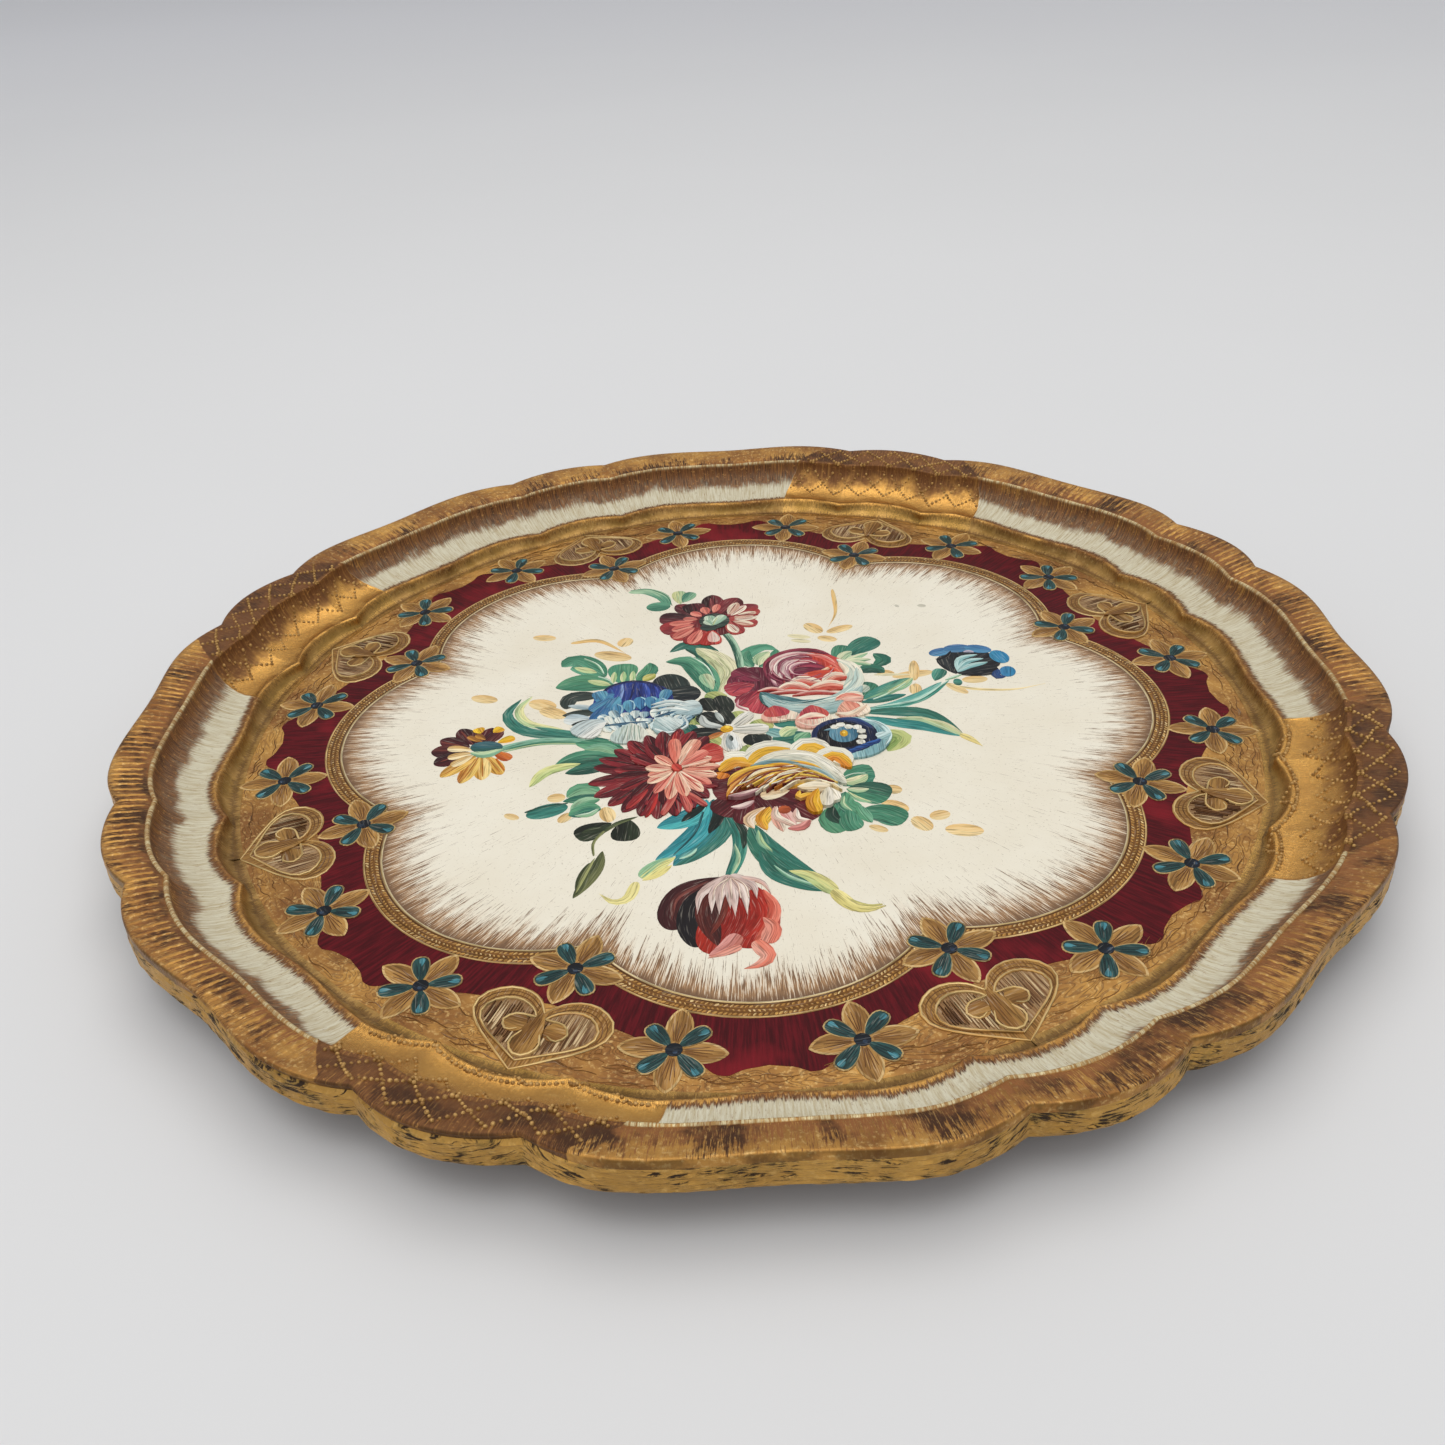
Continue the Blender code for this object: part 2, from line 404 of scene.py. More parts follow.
def side_material():
    """The side of the rim: worn leaf with dark cracks, and stained wood underneath."""
    shade = Shade("worn_leaf_on_wood", roughness=0.45, specular=0.3)
    leaf, _ = gilding(shade, 0.7)
    leaf = shade.mix(0.5, leaf, rgb("dcae58"))
    streak = shade.noise(1.0, 5.0, 0.7, at=shade.turning(0.5, 5.0))
    blotch = shade.noise(130.0, 5.0, 0.65)
    dark = shade.step(shade.plus(streak, shade.times(blotch, 0.5)), 0.78, 0.86)
    colour = shade.mix(shade.times(shade.step(blotch, 0.5, 0.66), 0.5), leaf, OLIVE)
    colour = shade.mix(dark, colour, rgb("33210f"))
    under = shade.value("under")
    grain = shade.noise(1.0, 4.0, 0.6, at=shade.turning(0.6, 14.0))
    wood = shade.mix(shade.step(grain, 0.35, 0.65), rgb("4a3020"), rgb("70502f"))
    colour = shade.mix(under, colour, wood)
    painted = shade.math("MAXIMUM", under, dark)
    metal = shade.between(painted, 0.55, 0.0)
    rough = shade.between(painted, 0.4, 0.7)
    relief = shade.plus(streak, shade.times(blotch, 0.8))
    return shade.finish(colour, rough, metal, relief, 0.5)


def panel_material():
    """The plywood panel, seen from below: stained, with its grain along X."""
    shade = Shade("stained_plywood", roughness=0.65)
    along = shade.vector("MULTIPLY", shade.place, (60.0, 900.0, 60.0))
    grain = shade.noise(1.0, 5.0, 0.6, at=along)
    colour = shade.mix(shade.step(grain, 0.3, 0.7), rgb("5c4028"), rgb("80603c"))
    return shade.finish(colour, None, None, grain, 0.08)


def ground_material():
    """The gold ground of the field, with flowing lines scratched through to the brown."""
    shade = Shade("scratched_gold_ground", roughness=0.42, specular=0.25)
    leaf, speck = gilding(shade)
    flow = shade.noise(1.0, 2.0, 0.5, at=shade.turning(6.0, 18.0), twist=0.6)
    rings = shade.math("PINGPONG", shade.times(flow, 34.0), 1.0)
    wear = shade.noise(95.0, 3.0)
    scratch = shade.times(shade.step(rings, 0.36, 0.12), shade.step(wear, 0.38, 0.52))
    colour = shade.mix(shade.times(scratch, 0.5), leaf, rgb("704a22"))
    metal = shade.between(scratch, 0.4, 0.1)
    rough = shade.between(speck, 0.34, 0.5)
    relief = shade.math("SUBTRACT", shade.times(speck, 0.3), scratch)
    return shade.finish(colour, rough, metal, relief, 0.12)


def cream_material():
    """The cream ground: brown bristle marks run in from its edge, over fine specks and grey scuffs."""
    shade = Shade("bristled_cream", roughness=0.5, specular=0.25)
    inward = shade.value("inward")
    fine = shade.noise(1.0, 3.0, 0.62, at=shade.radial(0.36, 7.0))
    clump = shade.noise(1.0, 3.0, 0.55, at=shade.radial(3.2, 40.0))
    reach = shade.math("MULTIPLY_ADD", clump, 44.0, -3.0)
    share = shade.math("POWER", shade.math("DIVIDE", inward, reach), 0.75)
    # The share of the surface that the marks cover falls from the edge to where they end.
    limit = shade.between(share, 0.33, 0.68)
    mark = shade.step(shade.math("SUBTRACT", fine, limit), -0.03, 0.05)
    soft = shade.times(shade.step(share, 0.9, 0.0), 0.42)
    speck = shade.noise(1500.0, 2.0, 0.6)
    cloud = shade.noise(34.0, 4.0, 0.6)
    colour = shade.mix(shade.step(cloud, 0.2, 0.8), CREAM, rgb("e2dac6"))
    colour = shade.mix(shade.times(shade.step(speck, 0.64, 0.72), 0.5), colour, rgb("9a8a70"))
    colour = shade.mix(soft, colour, rgb("c09668"))
    tone = shade.mix(shade.step(fine, 0.46, 0.62), rgb("a87c4e"), rgb("64401f"))
    tone = shade.mix(shade.step(share, 0.35, 0.05), tone, rgb("5c3a1c"))
    colour = shade.mix(shade.times(mark, 0.92), colour, tone)
    return shade.finish(colour, shade.between(mark, 0.45, 0.6), None, fine, 0.05)


def burgundy_material():
    """Deep red glaze, brushed outwards, thinner and brighter in places."""
    shade = Shade("burgundy_glaze", roughness=0.42, specular=0.1)
    streak = shade.noise(1.0, 4.0, 0.6, at=shade.radial(0.9, 9.0))
    cloud = shade.noise(45.0, 3.0)
    colour = shade.mix(shade.step(streak, 0.35, 0.68), rgb("3e080e"), rgb("5f0f18"))
    colour = shade.mix(shade.times(shade.step(cloud, 0.5, 0.68), 0.6), colour, rgb("841822"))
    return shade.finish(colour, shade.between(streak, 0.4, 0.5), None, streak, 0.05)


def paint_material(name, metallic, roughness):
    """Brushed paint or leaf: two colours per stroke, laid side by side and streaked into each other."""
    shade = Shade(name, roughness=roughness, metallic=metallic, specular=0.15)
    grain = shade.triple("grain")
    lane_place = shade.vector("MULTIPLY", grain, (0.11, 1.0 / BRISTLE_LANE, 1.0))
    lane = shade.noise(1.0, 3.0, 0.6, at=lane_place)
    smear = shade.math("MULTIPLY_ADD", lane, 2.6, -1.3)
    share = shade.step(shade.plus(shade.value("side"), smear), 0.4, -0.4)
    colour = shade.mix(share, shade.colour("first"), shade.colour("second"))
    # Thin and thick paint along the bristle lanes.
    thin = shade.noise(1.0, 2.0, 0.5, at=shade.vector("MULTIPLY", grain, (0.16, 1.5 / BRISTLE_LANE, 1.7)))
    colour = shade.mix(shade.times(shade.step(thin, 0.52, 0.32), 0.5), colour, rgb("1d130c"))
    colour = shade.mix(shade.times(shade.step(thin, 0.56, 0.74), 0.16), colour, rgb("fff4e0"))
    return shade.finish(colour, None, None, lane, 0.06)


# ---------------------------------------------------------------- rim

GLUE_LINE = 14.6  # height above the field of the joint between capping and blocks at the side
SLOPE_RADIUS = 175.0  # the middle of the slope that the cartouches lie on
RIB_SPACING = 0.9  # degrees
BEAD_SPACING = 1.45


def rim_profile():
    """Across the top of the capping from the gutter's foot out: (radius, rise, notch depth) rows."""
    rows = [(158.6, -0.1, 0.8), (160.0, 0.3, 1.3), (161.4, 1.0, 2.1), (162.4, 2.1, 2.9)]
    rows += [(163.1, 3.4, 3.5), (163.45, 4.0, 3.8), (163.8, 4.4, 3.8), (164.2, 4.5, 3.8)]
    rows += [(164.6, 4.5, 3.8), (165.0, 4.3, 3.8)]
    steps = 16
    for step in range(1, steps + 1):
        share = step / steps
        turn = math.pi / 2 * share
        radius = 165.2 + 14.0 * math.sin(turn) ** 0.85
        rise = 4.3 + 9.8 * (1 - math.cos(turn)) ** 0.85
        rows.append((radius, rise, 3.8 - 1.2 * share))
    rows += [(179.35, 14.7, 2.6), (179.6, 15.05, 2.6), (179.95, 15.2, 2.6), (180.3, 15.05, 2.6)]
    rows += [(180.6, 14.8, 2.6)]
    steps = 12
    for step in range(1, steps + 1):
        share = step / steps
        rows.append((180.6 + 10.0 * share, 14.8 + (RIM_TOP - 14.8) * share**0.75, 2.6 + 1.4 * share))
    rows += [(RIM_RADIUS - 0.55, RIM_TOP, 4.0), (RIM_RADIUS - 0.2, RIM_TOP - 0.2, 4.0)]
    rows += [(RIM_RADIUS, RIM_TOP - 0.6, 4.0), (RIM_RADIUS, RIM_TOP - 2.5, 4.0)]
    return np.array(rows)


def cylinder(angle, reach, height):
    """Points at an angle, a distance from the axis and a height."""
    turn = np.radians(angle)
    return np.stack([reach * np.cos(turn), reach * np.sin(turn), height], -1)


def cartouche_border(angle, across):
    """Signed millimetres inside the nearest cartouche's slanted side."""
    half = np.interp(across, (160, 170, 177, 182, 186, 190), (14.2, 13.8, 13.0, 11.6, 10.4, 9.2))
    nearest = np.full(np.broadcast(angle, across).shape, 180.0)
    for middle in CARTOUCHES:
        nearest = np.minimum(nearest, np.abs((angle - middle + 180) % 360 - 180))
    return (half - nearest) * math.radians(SLOPE_RADIUS)


def on_rim(angle, across, rise):
    """The point at a place on the capping's section, drawn in by the outline's notches."""
    profile = rim_profile()
    notch = np.interp(across, profile[:, 0], profile[:, 2])
    return cylinder(angle, drawn_in(angle, across, notch), FIELD + rise)


def drawn_in(angle, radius, notch):
    """A radius with the outline's notches and its hand-cut waviness."""
    wander = 0.35 * ripple(angle, (9, 13, 29), 11)
    return radius - notch * scallop(angle) + wander * smooth(radius, 160, 185)


def sweep(angles, section):
    """Angle, radius, rise and notch depth at each place of a section carried round the axis."""
    turn, radius = np.meshgrid(angles, section[:, 0], indexing="ij")
    rise, notch = (np.broadcast_to(section[:, column], turn.shape) for column in (1, 2))
    return turn, radius, rise, notch


def rib_strength(angle):
    """How clearly the ribs of the lip survive: sharp at the left and right, worn elsewhere."""
    angle = np.asarray(angle, float) % 360
    return np.interp(
        angle,
        (0, 14, 40, 56, 84, 140, 168, 174, 228, 236, 262, 300, 312, 326, 348, 354, 360),
        (0.9, 0.75, 0.45, 0.25, 0.3, 0.3, 0.4, 1.0, 1.0, 0.3, 0.2, 0.3, 0.5, 0.2, 0.3, 0.9, 0.9),
    )


def lip_wear(angle):
    """How much of the brown is rubbed off the lip: most at the far side, least at the front right."""
    angle = np.asarray(angle, float) % 360
    return np.interp(
        angle,
        (0, 20, 45, 60, 90, 135, 165, 200, 225, 240, 262, 285, 310, 335, 360),
        (-0.02, -0.04, 0.02, 0.16, 0.2, 0.16, 0.02, -0.04, 0.0, 0.1, 0.02, 0.0, -0.06, -0.02, -0.02),
    )


def rim_quarter(number, start, material):
    """One quarter of the capping, as a closed body with ribs, raised line and cartouche borders."""
    angles = np.linspace(start, start + 90.0, 901)
    rows = rim_profile()
    under = np.array([(189.2, 14.4, 4.0), (183.0, 12.2, 2.6), (171.9, 2.9, 3.5), (163.5, 0.3, 0.0)])
    under = np.vstack([under, (157.2, 0.15, 0.0)])
    section = np.vstack([rows, under])
    turn, radius, rise, notch = sweep(angles, section)
    top = np.broadcast_to(np.arange(len(section)) < len(rows), turn.shape)
    phase = turn / RIB_SPACING + 0.25 * ripple(turn, (31, 47, 74), 5)
    comb = np.clip(np.cos(2 * math.pi * phase) * 1.4 - 0.4, 0, 1)
    reach = smooth(radius, 181.2, 182.4) * (1 - smooth(radius, 189.4, 190.6))
    border = cartouche_border(turn, radius)
    inside = smooth(border, -0.4, 0.6)
    rib = comb * reach * rib_strength(turn) * top * (1 - inside)
    ridge = np.exp(-((border / 0.45) ** 2)) * smooth(radius, 165.5, 167) * (1 - smooth(radius, 187.5, 189.2))
    waver = 0.12 * ripple(turn, (17, 23, 41), 7) + 0.1 * ripple(turn + radius * 2, (60, 83), 9)
    waver = waver * smooth(radius, 161, 166) * (1 - smooth(radius, 188, 190.5))
    line = inside * np.exp(-(((radius - 179.95) / 0.5) ** 2))
    height = rise + top * (0.34 * rib + 0.3 * ridge + waver - 0.5 * line)
    reached = drawn_in(turn, radius, notch) - crack_depth(turn, rise) * (radius > 188)
    points = cylinder(turn, reached, FIELD + height).reshape(-1, 3)
    values = {"across": radius.ravel(), "border": border.ravel(), "rib": rib.ravel()}
    values["worn"] = (lip_wear(turn) + 0.5 * (radius > RIM_RADIUS - 0.4) * (rise < 16.9)).ravel()
    faces = tube_faces(len(angles), len(section))
    piece = make_piece(f"gilt_rim_{number}", points, faces, material, values)
    return ride(piece, "gilded_capping", f"rim_capping_{number}")


def crack_depth(angle, rise):
    """The open glue line under the lip, at the front left only."""
    angle = np.asarray(angle, float) % 360
    depth = 0.9 * smooth(angle, 222, 226) * (1 - smooth(angle, 254, 259))
    return depth * np.exp(-(((rise - GLUE_LINE) / 0.35) ** 2))


def rim_block(number, start, material):
    """One block of the lower course: the worn gilt side, the slope under it and the foot."""
    angles = np.linspace(start, start + REPEAT, 226)
    side = [(RIM_RADIUS - 0.9, 14.35, 4.0), (RIM_RADIUS, 14.7, 4.0), (RIM_RADIUS, 14.3, 4.0)]
    side += [(RIM_RADIUS - 0.05, 13.6, 4.0)]
    side += [(RIM_RADIUS, 12.9 - 0.75 * step, 4.0) for step in range(7)]
    side += [(RIM_RADIUS - 0.1, 7.7, 4.0), (RIM_RADIUS - 0.5, 7.0, 4.0), (RIM_RADIUS - 1.2, 6.75, 4.0)]
    slope = [(183.5, 3.6, 2.6), (178.0, 0.6, 1.6), (174.3, -2.8, 0.8), (169.5, -6.2, 0.0)]
    foot = [(168.3, -7.0, 0.0), (163.8, -7.0, 0.0), (163.8, 0.0, 0.0), (171.9, 2.6, 3.5), (183.2, 11.9, 2.6)]
    section = np.array(side + slope + foot)
    turn, radius, rise, notch = sweep(angles, section)
    outer = smooth(radius, 188, 190.5)
    dents = 0.22 * ripple(turn + rise * 3.1, (53, 71, 97), 13)
    dents = dents + 0.12 * ripple(turn - rise * 5, (131, 173), 17)
    reached = drawn_in(turn, radius, notch) + dents * outer * (rise < 14.4)
    reached = reached - crack_depth(turn, rise) * (radius > 191)
    points = cylinder(turn, reached, FIELD + rise).reshape(-1, 3)
    under = np.where(np.arange(len(section)) < len(side) - 1, 0.0, 1.0)
    values = {"under": np.broadcast_to(under, turn.shape).ravel()}
    faces = tube_faces(len(angles), len(section))
    piece = make_piece(f"gilt_side_{number}", points, faces, material, values)
    return ride(piece, "rim_wood", f"rim_block_{number}")


def build_rim():
    capping, side = rim_material(), side_material()
    for number in range(1, 5):
        rim_quarter(number, FIRST_HEART + (number - 1) * 90.0, capping)
    for number in range(1, REPEATS + 1):
        rim_block(number, (number - 1) * REPEAT, side)


def bead_row(corners):
    """Places about BEAD_SPACING apart along the line through (degrees, radius) corners."""
    corners = np.array(corners, float)
    flat = np.stack([np.radians(corners[:, 0]) * 172.0, corners[:, 1]], -1)
    lengths = np.concatenate([[0.0], np.cumsum(np.linalg.norm(np.diff(flat, axis=0), axis=1))])
    stops = np.linspace(0, lengths[-1], max(2, round(lengths[-1] / BEAD_SPACING) + 1))
    angles = np.interp(stops, lengths, corners[:, 0])
    return list(zip(angles, np.interp(stops, lengths, corners[:, 1])))


def bead_places(middle):
    """The beads of one cartouche: a lattice on the slope, and zigzags beside the well on two of them."""
    places = []
    for bottom in np.arange(-17.5, 18.0, 3.5):
        for side in (-1, 1):
            row = bead_row([(middle + bottom, 170.6), (middle + bottom + side * 7.0, 189.2)])
            places += [(angle, across) for angle, across in row if cartouche_border(angle, across) > 0.5]
    if middle > 180:
        for foot in (-8.6, 0.0, 8.6):
            zigzag = [(middle + foot - 2.6, 165.6), (middle + foot, 161.4), (middle + foot + 2.6, 165.6)]
            places += bead_row(zigzag)
        places += bead_row([(middle - 12.5, 165.4), (middle + 12.5, 165.4)])
    return places


def build_beads(material):
    """The beaded gesso of the cartouches, one piece each: small domes standing on the capping."""
    picks = np.random.default_rng(31)
    profile = rim_profile()
    around = 8
    circle = np.linspace(0, 2 * math.pi, around, endpoint=False)
    for number, middle in enumerate(CARTOUCHES, 1):
        points, faces = [], []
        for angle, across in bead_places(middle):
            rise = np.interp(across, profile[:-1, 0], profile[:-1, 1])
            foot = on_rim(np.array(angle), np.array(across), rise)
            size = picks.uniform(0.4, 0.62)
            start = len(points)
            for share, lift in ((1.0, -0.35), (1.0, 0.1), (0.75, 0.36), (0.3, 0.5)):
                for turn in circle:
                    spread = size * share
                    side = (spread * math.cos(turn), spread * math.sin(turn), lift * size / 0.5)
                    points.append(foot + side)
            faces += tube_faces(4, around, start=start)
        piece = make_piece(f"gesso_beads_{number}", points, faces, material, sharp=80)
        ride(piece, "gilded_capping")


# ---------------------------------------------------------------- field

# Heights above the wooden field: the tops of the three grounds, and the underside of all of them.
GROUND_TOP = 0.06
BAND_TOP = 0.12
CREAM_TOP = 0.14
PLATE_FOOT = -0.05
PLATE_STEPS = 720
PLATE_ANGLES = np.linspace(0, 360, PLATE_STEPS, endpoint=False)
PINHOLE = 0.02  # radius at which the cream ground's rings end
LOBE_CENTRE = 78.7  # the cream ground is eight round lobes: their centres' distance out, and their radius
LOBE_RADIUS = 50.3
BRAID_WIDTH = 5.0


def lobe_edge(angle, outset=0.0):
    """Radius of the lobed edge of the cream ground, or of a line outset from it."""
    away = np.abs((np.asarray(angle, float) + REPEAT / 2) % REPEAT - REPEAT / 2)
    turn = np.radians(away)
    reach = np.sqrt((LOBE_RADIUS + outset) ** 2 - (LOBE_CENTRE * np.sin(turn)) ** 2)
    return LOBE_CENTRE * np.cos(turn) + reach


def burgundy_edge(angle):
    """Outer radius of the burgundy band, which rises between the hearts."""
    away = np.abs(from_heart(np.asarray(angle, float)))
    places = (0, 5, 9, 11, 13.7, 16.5, 17.8, 18.9, 20.2, 22.5)
    return np.interp(away, places, (136, 138, 141, 143, 144, 149, 152, 152.3, 150.3, 149.2))


def plate(name, material, slot, edges, height, values=None):
    """A thin closed plate on the field between rings, given as radii at PLATE_ANGLES."""
    angles = PLATE_ANGLES
    rings = [np.broadcast_to(edge, angles.shape) for edge in edges]
    around = [cylinder(angles, ring, np.full(PLATE_STEPS, FIELD + height)) for ring in rings]
    foot = np.full(PLATE_STEPS, FIELD + PLATE_FOOT)
    around += [cylinder(angles, ring, foot) for ring in (rings[-1], rings[0])]
    points = np.stack(around, 1).reshape(-1, 3)
    faces = tube_faces(PLATE_STEPS, len(around), closed=True)
    attributes = {}
    for key, per_ring in (values or {}).items():
        attributes[key] = np.tile(list(per_ring) + [per_ring[-1], per_ring[0]], PLATE_STEPS)
    return ride(make_piece(name, points, faces, material, attributes), slot)


def build_field():
    """The gold ground, the burgundy band and the cream ground, laid over each other."""
    plate("gold_ground", ground_material(), "gilded_capping", (104.0, 130.0, 159.6), GROUND_TOP)
    angles = PLATE_ANGLES
    inner = lobe_edge(angles, BRAID_WIDTH)
    shares = (0.0, 0.5, 1.0)
    edges = [inner + (burgundy_edge(angles) - inner) * share for share in shares]
    plate("burgundy_band", burgundy_material(), "painted_panel", edges, BAND_TOP)
    rough = 0.35 * ripple(angles, (67, 101, 149, 211), 3)
    insets = (0.0, 2.0, 4.0, 7.0, 10.0, 14.0, 18.0, 24.0, 40.0)
    edges = [lobe_edge(angles, 0.3) + rough - inset for inset in insets]
    edges += [np.full(PLATE_STEPS, 30.0), np.full(PLATE_STEPS, PINHOLE)]
    inward = list(insets) + [80.0, 110.0]
    plate("cream_ground", cream_material(), "painted_panel", edges, CREAM_TOP, {"inward": inward})


# ---------------------------------------------------------------- brush strokes

CELL = 0.5  # of the grid that remembers how high the paint already stands
CELLS = 700
PAINT_STEP = 0.006  # each stroke lies this much over what is under it
STROKE_FOOT = FIELD + 0.02  # height of every stroke's underside
SHARES = np.array([-1.0, -0.85, -0.45, 0.0, 0.45, 0.85, 1.0])  # across a stroke
# How the width swells along a stroke: powers of the way from its start and to its end.
KINDS = {
    "leaf": (0.75, 0.75),
    "petal": (0.8, 0.38),
    "ray": (0.85, 0.62),
    "comma": (0.4, 1.1),
    "line": (0.12, 0.2),
    "blob": (0.5, 0.5),
    "seed": (0.5, 0.5),
}
paint_height = np.full((CELLS, CELLS), CREAM_TOP)


def spline(path):
    """A smooth curve through the points, as a dense polyline."""
    knots = np.array(path, float)
    if len(knots) == 2:
        return knots
    padded = np.vstack([2 * knots[0] - knots[1], knots, 2 * knots[-1] - knots[-2]])
    t = np.linspace(0, 1, 12, endpoint=False)[:, None]
    parts = []
    for a, b, c, d in zip(padded, padded[1:], padded[2:], padded[3:]):
        cubic = (3 * b - a - 3 * c + d) * t**3
        parts.append(0.5 * (2 * b + (c - a) * t + (2 * a - 5 * b + 4 * c - d) * t * t + cubic))
    return np.vstack(parts + [knots[-1:]])


def along_curve(path, count):
    """Points and unit normals at count places along a curve, closest together at its ends."""
    curve = spline(path)
    lengths = np.concatenate([[0.0], np.cumsum(np.linalg.norm(np.diff(curve, axis=0), axis=1))])
    share = (1 - np.cos(math.pi * np.linspace(0, 1, count))) / 2
    spots = np.stack([np.interp(share * lengths[-1], lengths, curve[:, axis]) for axis in (0, 1)], -1)
    ahead = np.gradient(spots, axis=0)
    ahead /= np.maximum(np.linalg.norm(ahead, axis=1), 1e-6)[:, None]
    return spots, np.stack([-ahead[:, 1], ahead[:, 0]], -1), share, lengths[-1]


class Paint:
    """Brush strokes gathered into one piece. Later strokes lie on earlier ones, in any piece."""

    def __init__(self, name, material, slot="painted_panel", dome=0.02):
        self.name, self.material, self.slot, self.dome = name, material, slot, dome
        self.points, self.faces = [], []
        self.first, self.second, self.grain, self.side = [], [], [], []
        seed = sum(ord(letter) * (place + 1) for place, letter in enumerate(name))
        self.picks = np.random.default_rng(seed)
        self.turn, self.shift = 0.0, (0.0, 0.0)

    def stand(self, axis, radius=0.0):
        """Draws in a frame whose +Y points outwards along axis, with its origin out at radius."""
        self.turn, self.shift = math.radians(axis - 90), (0.0, radius)

    def placed(self, path):
        """A path in the tray's own frame."""
        path = np.array(path, float) + self.shift
        cos, sin = math.cos(self.turn), math.sin(self.turn)
        return path @ np.array([[cos, sin], [-sin, cos]])

    def stroke(self, kind, width, first, second, *path, split=0.8, lean=0.0, dome=None, rings=None,
               level=None):
        """One closed stroke. first is the colour on the left of its path, second on the right."""
        start_power, end_power = KINDS[kind]
        rough_length = np.linalg.norm(np.diff(np.array(path, float), axis=0), axis=1).sum()
        count = rings or int(np.clip(rough_length / 1.6 + 5, 7, 22))
        spots, left, share, length = along_curve(self.placed(path), count)
        peak = start_power / (start_power + end_power)
        swell = share**start_power * (1 - share) ** end_power
        swell = swell / (peak**start_power * (1 - peak) ** end_power)
        half = np.maximum(width / 2 * swell, 0.06)
        crown = (dome or self.dome) * np.minimum(1.0, half / min(1.5, width / 2))
        level = self.rest_on(spots, left, half, crown, level)
        across = half[:, None] * SHARES
        top = spots[:, None] + left[:, None] * across[..., None]
        rise = level + crown[:, None] * np.sqrt(1 - SHARES**2)
        rows = np.concatenate([top, np.full(across.shape, FIELD)[..., None] + rise[..., None]], -1)
        feet = [edge * (1, 1, 0) + (0, 0, STROKE_FOOT) for edge in (rows[:, :1], rows[:, -1:])]
        rings_of_points = np.concatenate([feet[0], rows, feet[1]], 1)
        shares = np.concatenate([[-1.0], SHARES, [1.0]])
        side = shares[None] * split + lean * (1 - 2 * share)[:, None]
        along = np.broadcast_to((share * length)[:, None], side.shape)
        self.gather(rings_of_points, True, (along, half[:, None] * shares), side, first, second)

    def shape(self, outline, centre, first, second, split=0.8):
        """A closed patch inside an outline that its centre can see all of."""
        edge, middle = self.placed(outline), self.placed([centre])
        reach = np.array([(1.0,), (0.96,), (0.6,), (0.04,)])
        places = [middle + (edge - middle) * share for share in reach]
        level = self.rest_on_patch(middle, edge)
        around = len(edge)
        heights = (level, level + self.dome, level + self.dome, level + self.dome)
        layers = []
        for spot, rise in zip(places, heights):
            layers.append(np.column_stack([spot, np.full(around, FIELD + rise)]))
        layers = [layers[0] * (1, 1, 0) + (0, 0, STROKE_FOOT)] + layers
        turned = np.cross(edge[0] - middle[0], edge[1] - middle[0]) > 0
        local = [np.array(centre) + (np.array(outline) - centre) * share for share in (1, 1, 0.96, 0.6, 0.04)]
        aside, along = np.moveaxis(np.array(local), -1, 0)
        width = np.ptp(np.array(outline)[:, 0]) / 2
        side = -split * (aside - centre[0]) / width
        self.gather(np.array(layers), turned, (along, aside), side, first, second)

    def gather(self, rings, flipped, grain, side, first, second):
        """Adds a closed body to the piece, with its grain, its share of each colour, and the two colours."""
        count, around = rings.shape[:2]
        base = sum(len(block) for block in self.points)
        faces = tube_faces(count, around, start=base)
        self.faces += [face[::-1] for face in faces] if flipped else faces
        self.points.append(rings.reshape(-1, 3))
        own = np.full(side.shape, self.picks.uniform(0, 900))
        self.grain.append(np.stack([*grain, own], -1).reshape(-1, 3))
        self.side.append(side.ravel())
        self.first.append(np.tile(self.tint(first), (side.size, 1)))
        self.second.append(np.tile(self.tint(second), (side.size, 1)))

    def rest_on_patch(self, middle, edge):
        """The height a patch lies at, and the mark it leaves on the grid."""
        shares = np.linspace(0, 1, 40)[:, None, None]
        fine = np.vstack([edge, (edge + np.roll(edge, 1, axis=0)) / 2])
        places = middle + (fine - middle)[None] * shares
        cell = np.clip((places / CELL + CELLS / 2).astype(int), 0, CELLS - 1)
        level = paint_height[cell[..., 0], cell[..., 1]].max() + PAINT_STEP
        paint_height[cell[..., 0], cell[..., 1]] = level + self.dome
        return level

    def tint(self, code):
        """The colour, a touch different each time."""
        colour = np.array(rgb(code))
        colour[:3] = np.clip(colour[:3] * self.picks.uniform(0.9, 1.1), 0, 1)
        return colour

    def rest_on(self, spots, left, half, crown, level):
        """The height this stroke lies at, unless it is given, and the mark it leaves on the grid."""
        shares = np.linspace(-1, 1, int(half.max() * 2 / CELL) + 3)
        stops = np.linspace(0, len(spots) - 1, int(len(spots) * 3))
        centre = np.stack([np.interp(stops, np.arange(len(spots)), spots[:, axis]) for axis in (0, 1)], -1)
        normal = np.stack([np.interp(stops, np.arange(len(spots)), left[:, axis]) for axis in (0, 1)], -1)
        reach = np.interp(stops, np.arange(len(spots)), half)
        places = centre[:, None] + normal[:, None] * (reach[:, None] * shares)[..., None]
        cell = np.clip((places / CELL + CELLS / 2).astype(int), 0, CELLS - 1)
        if level is None:
            level = paint_height[cell[..., 0], cell[..., 1]].max() + PAINT_STEP
        crowns = np.interp(stops, np.arange(len(spots)), crown)[:, None] * np.sqrt(1 - shares**2)
        np.maximum.at(paint_height, (cell[..., 0], cell[..., 1]), level + crowns)
        return level

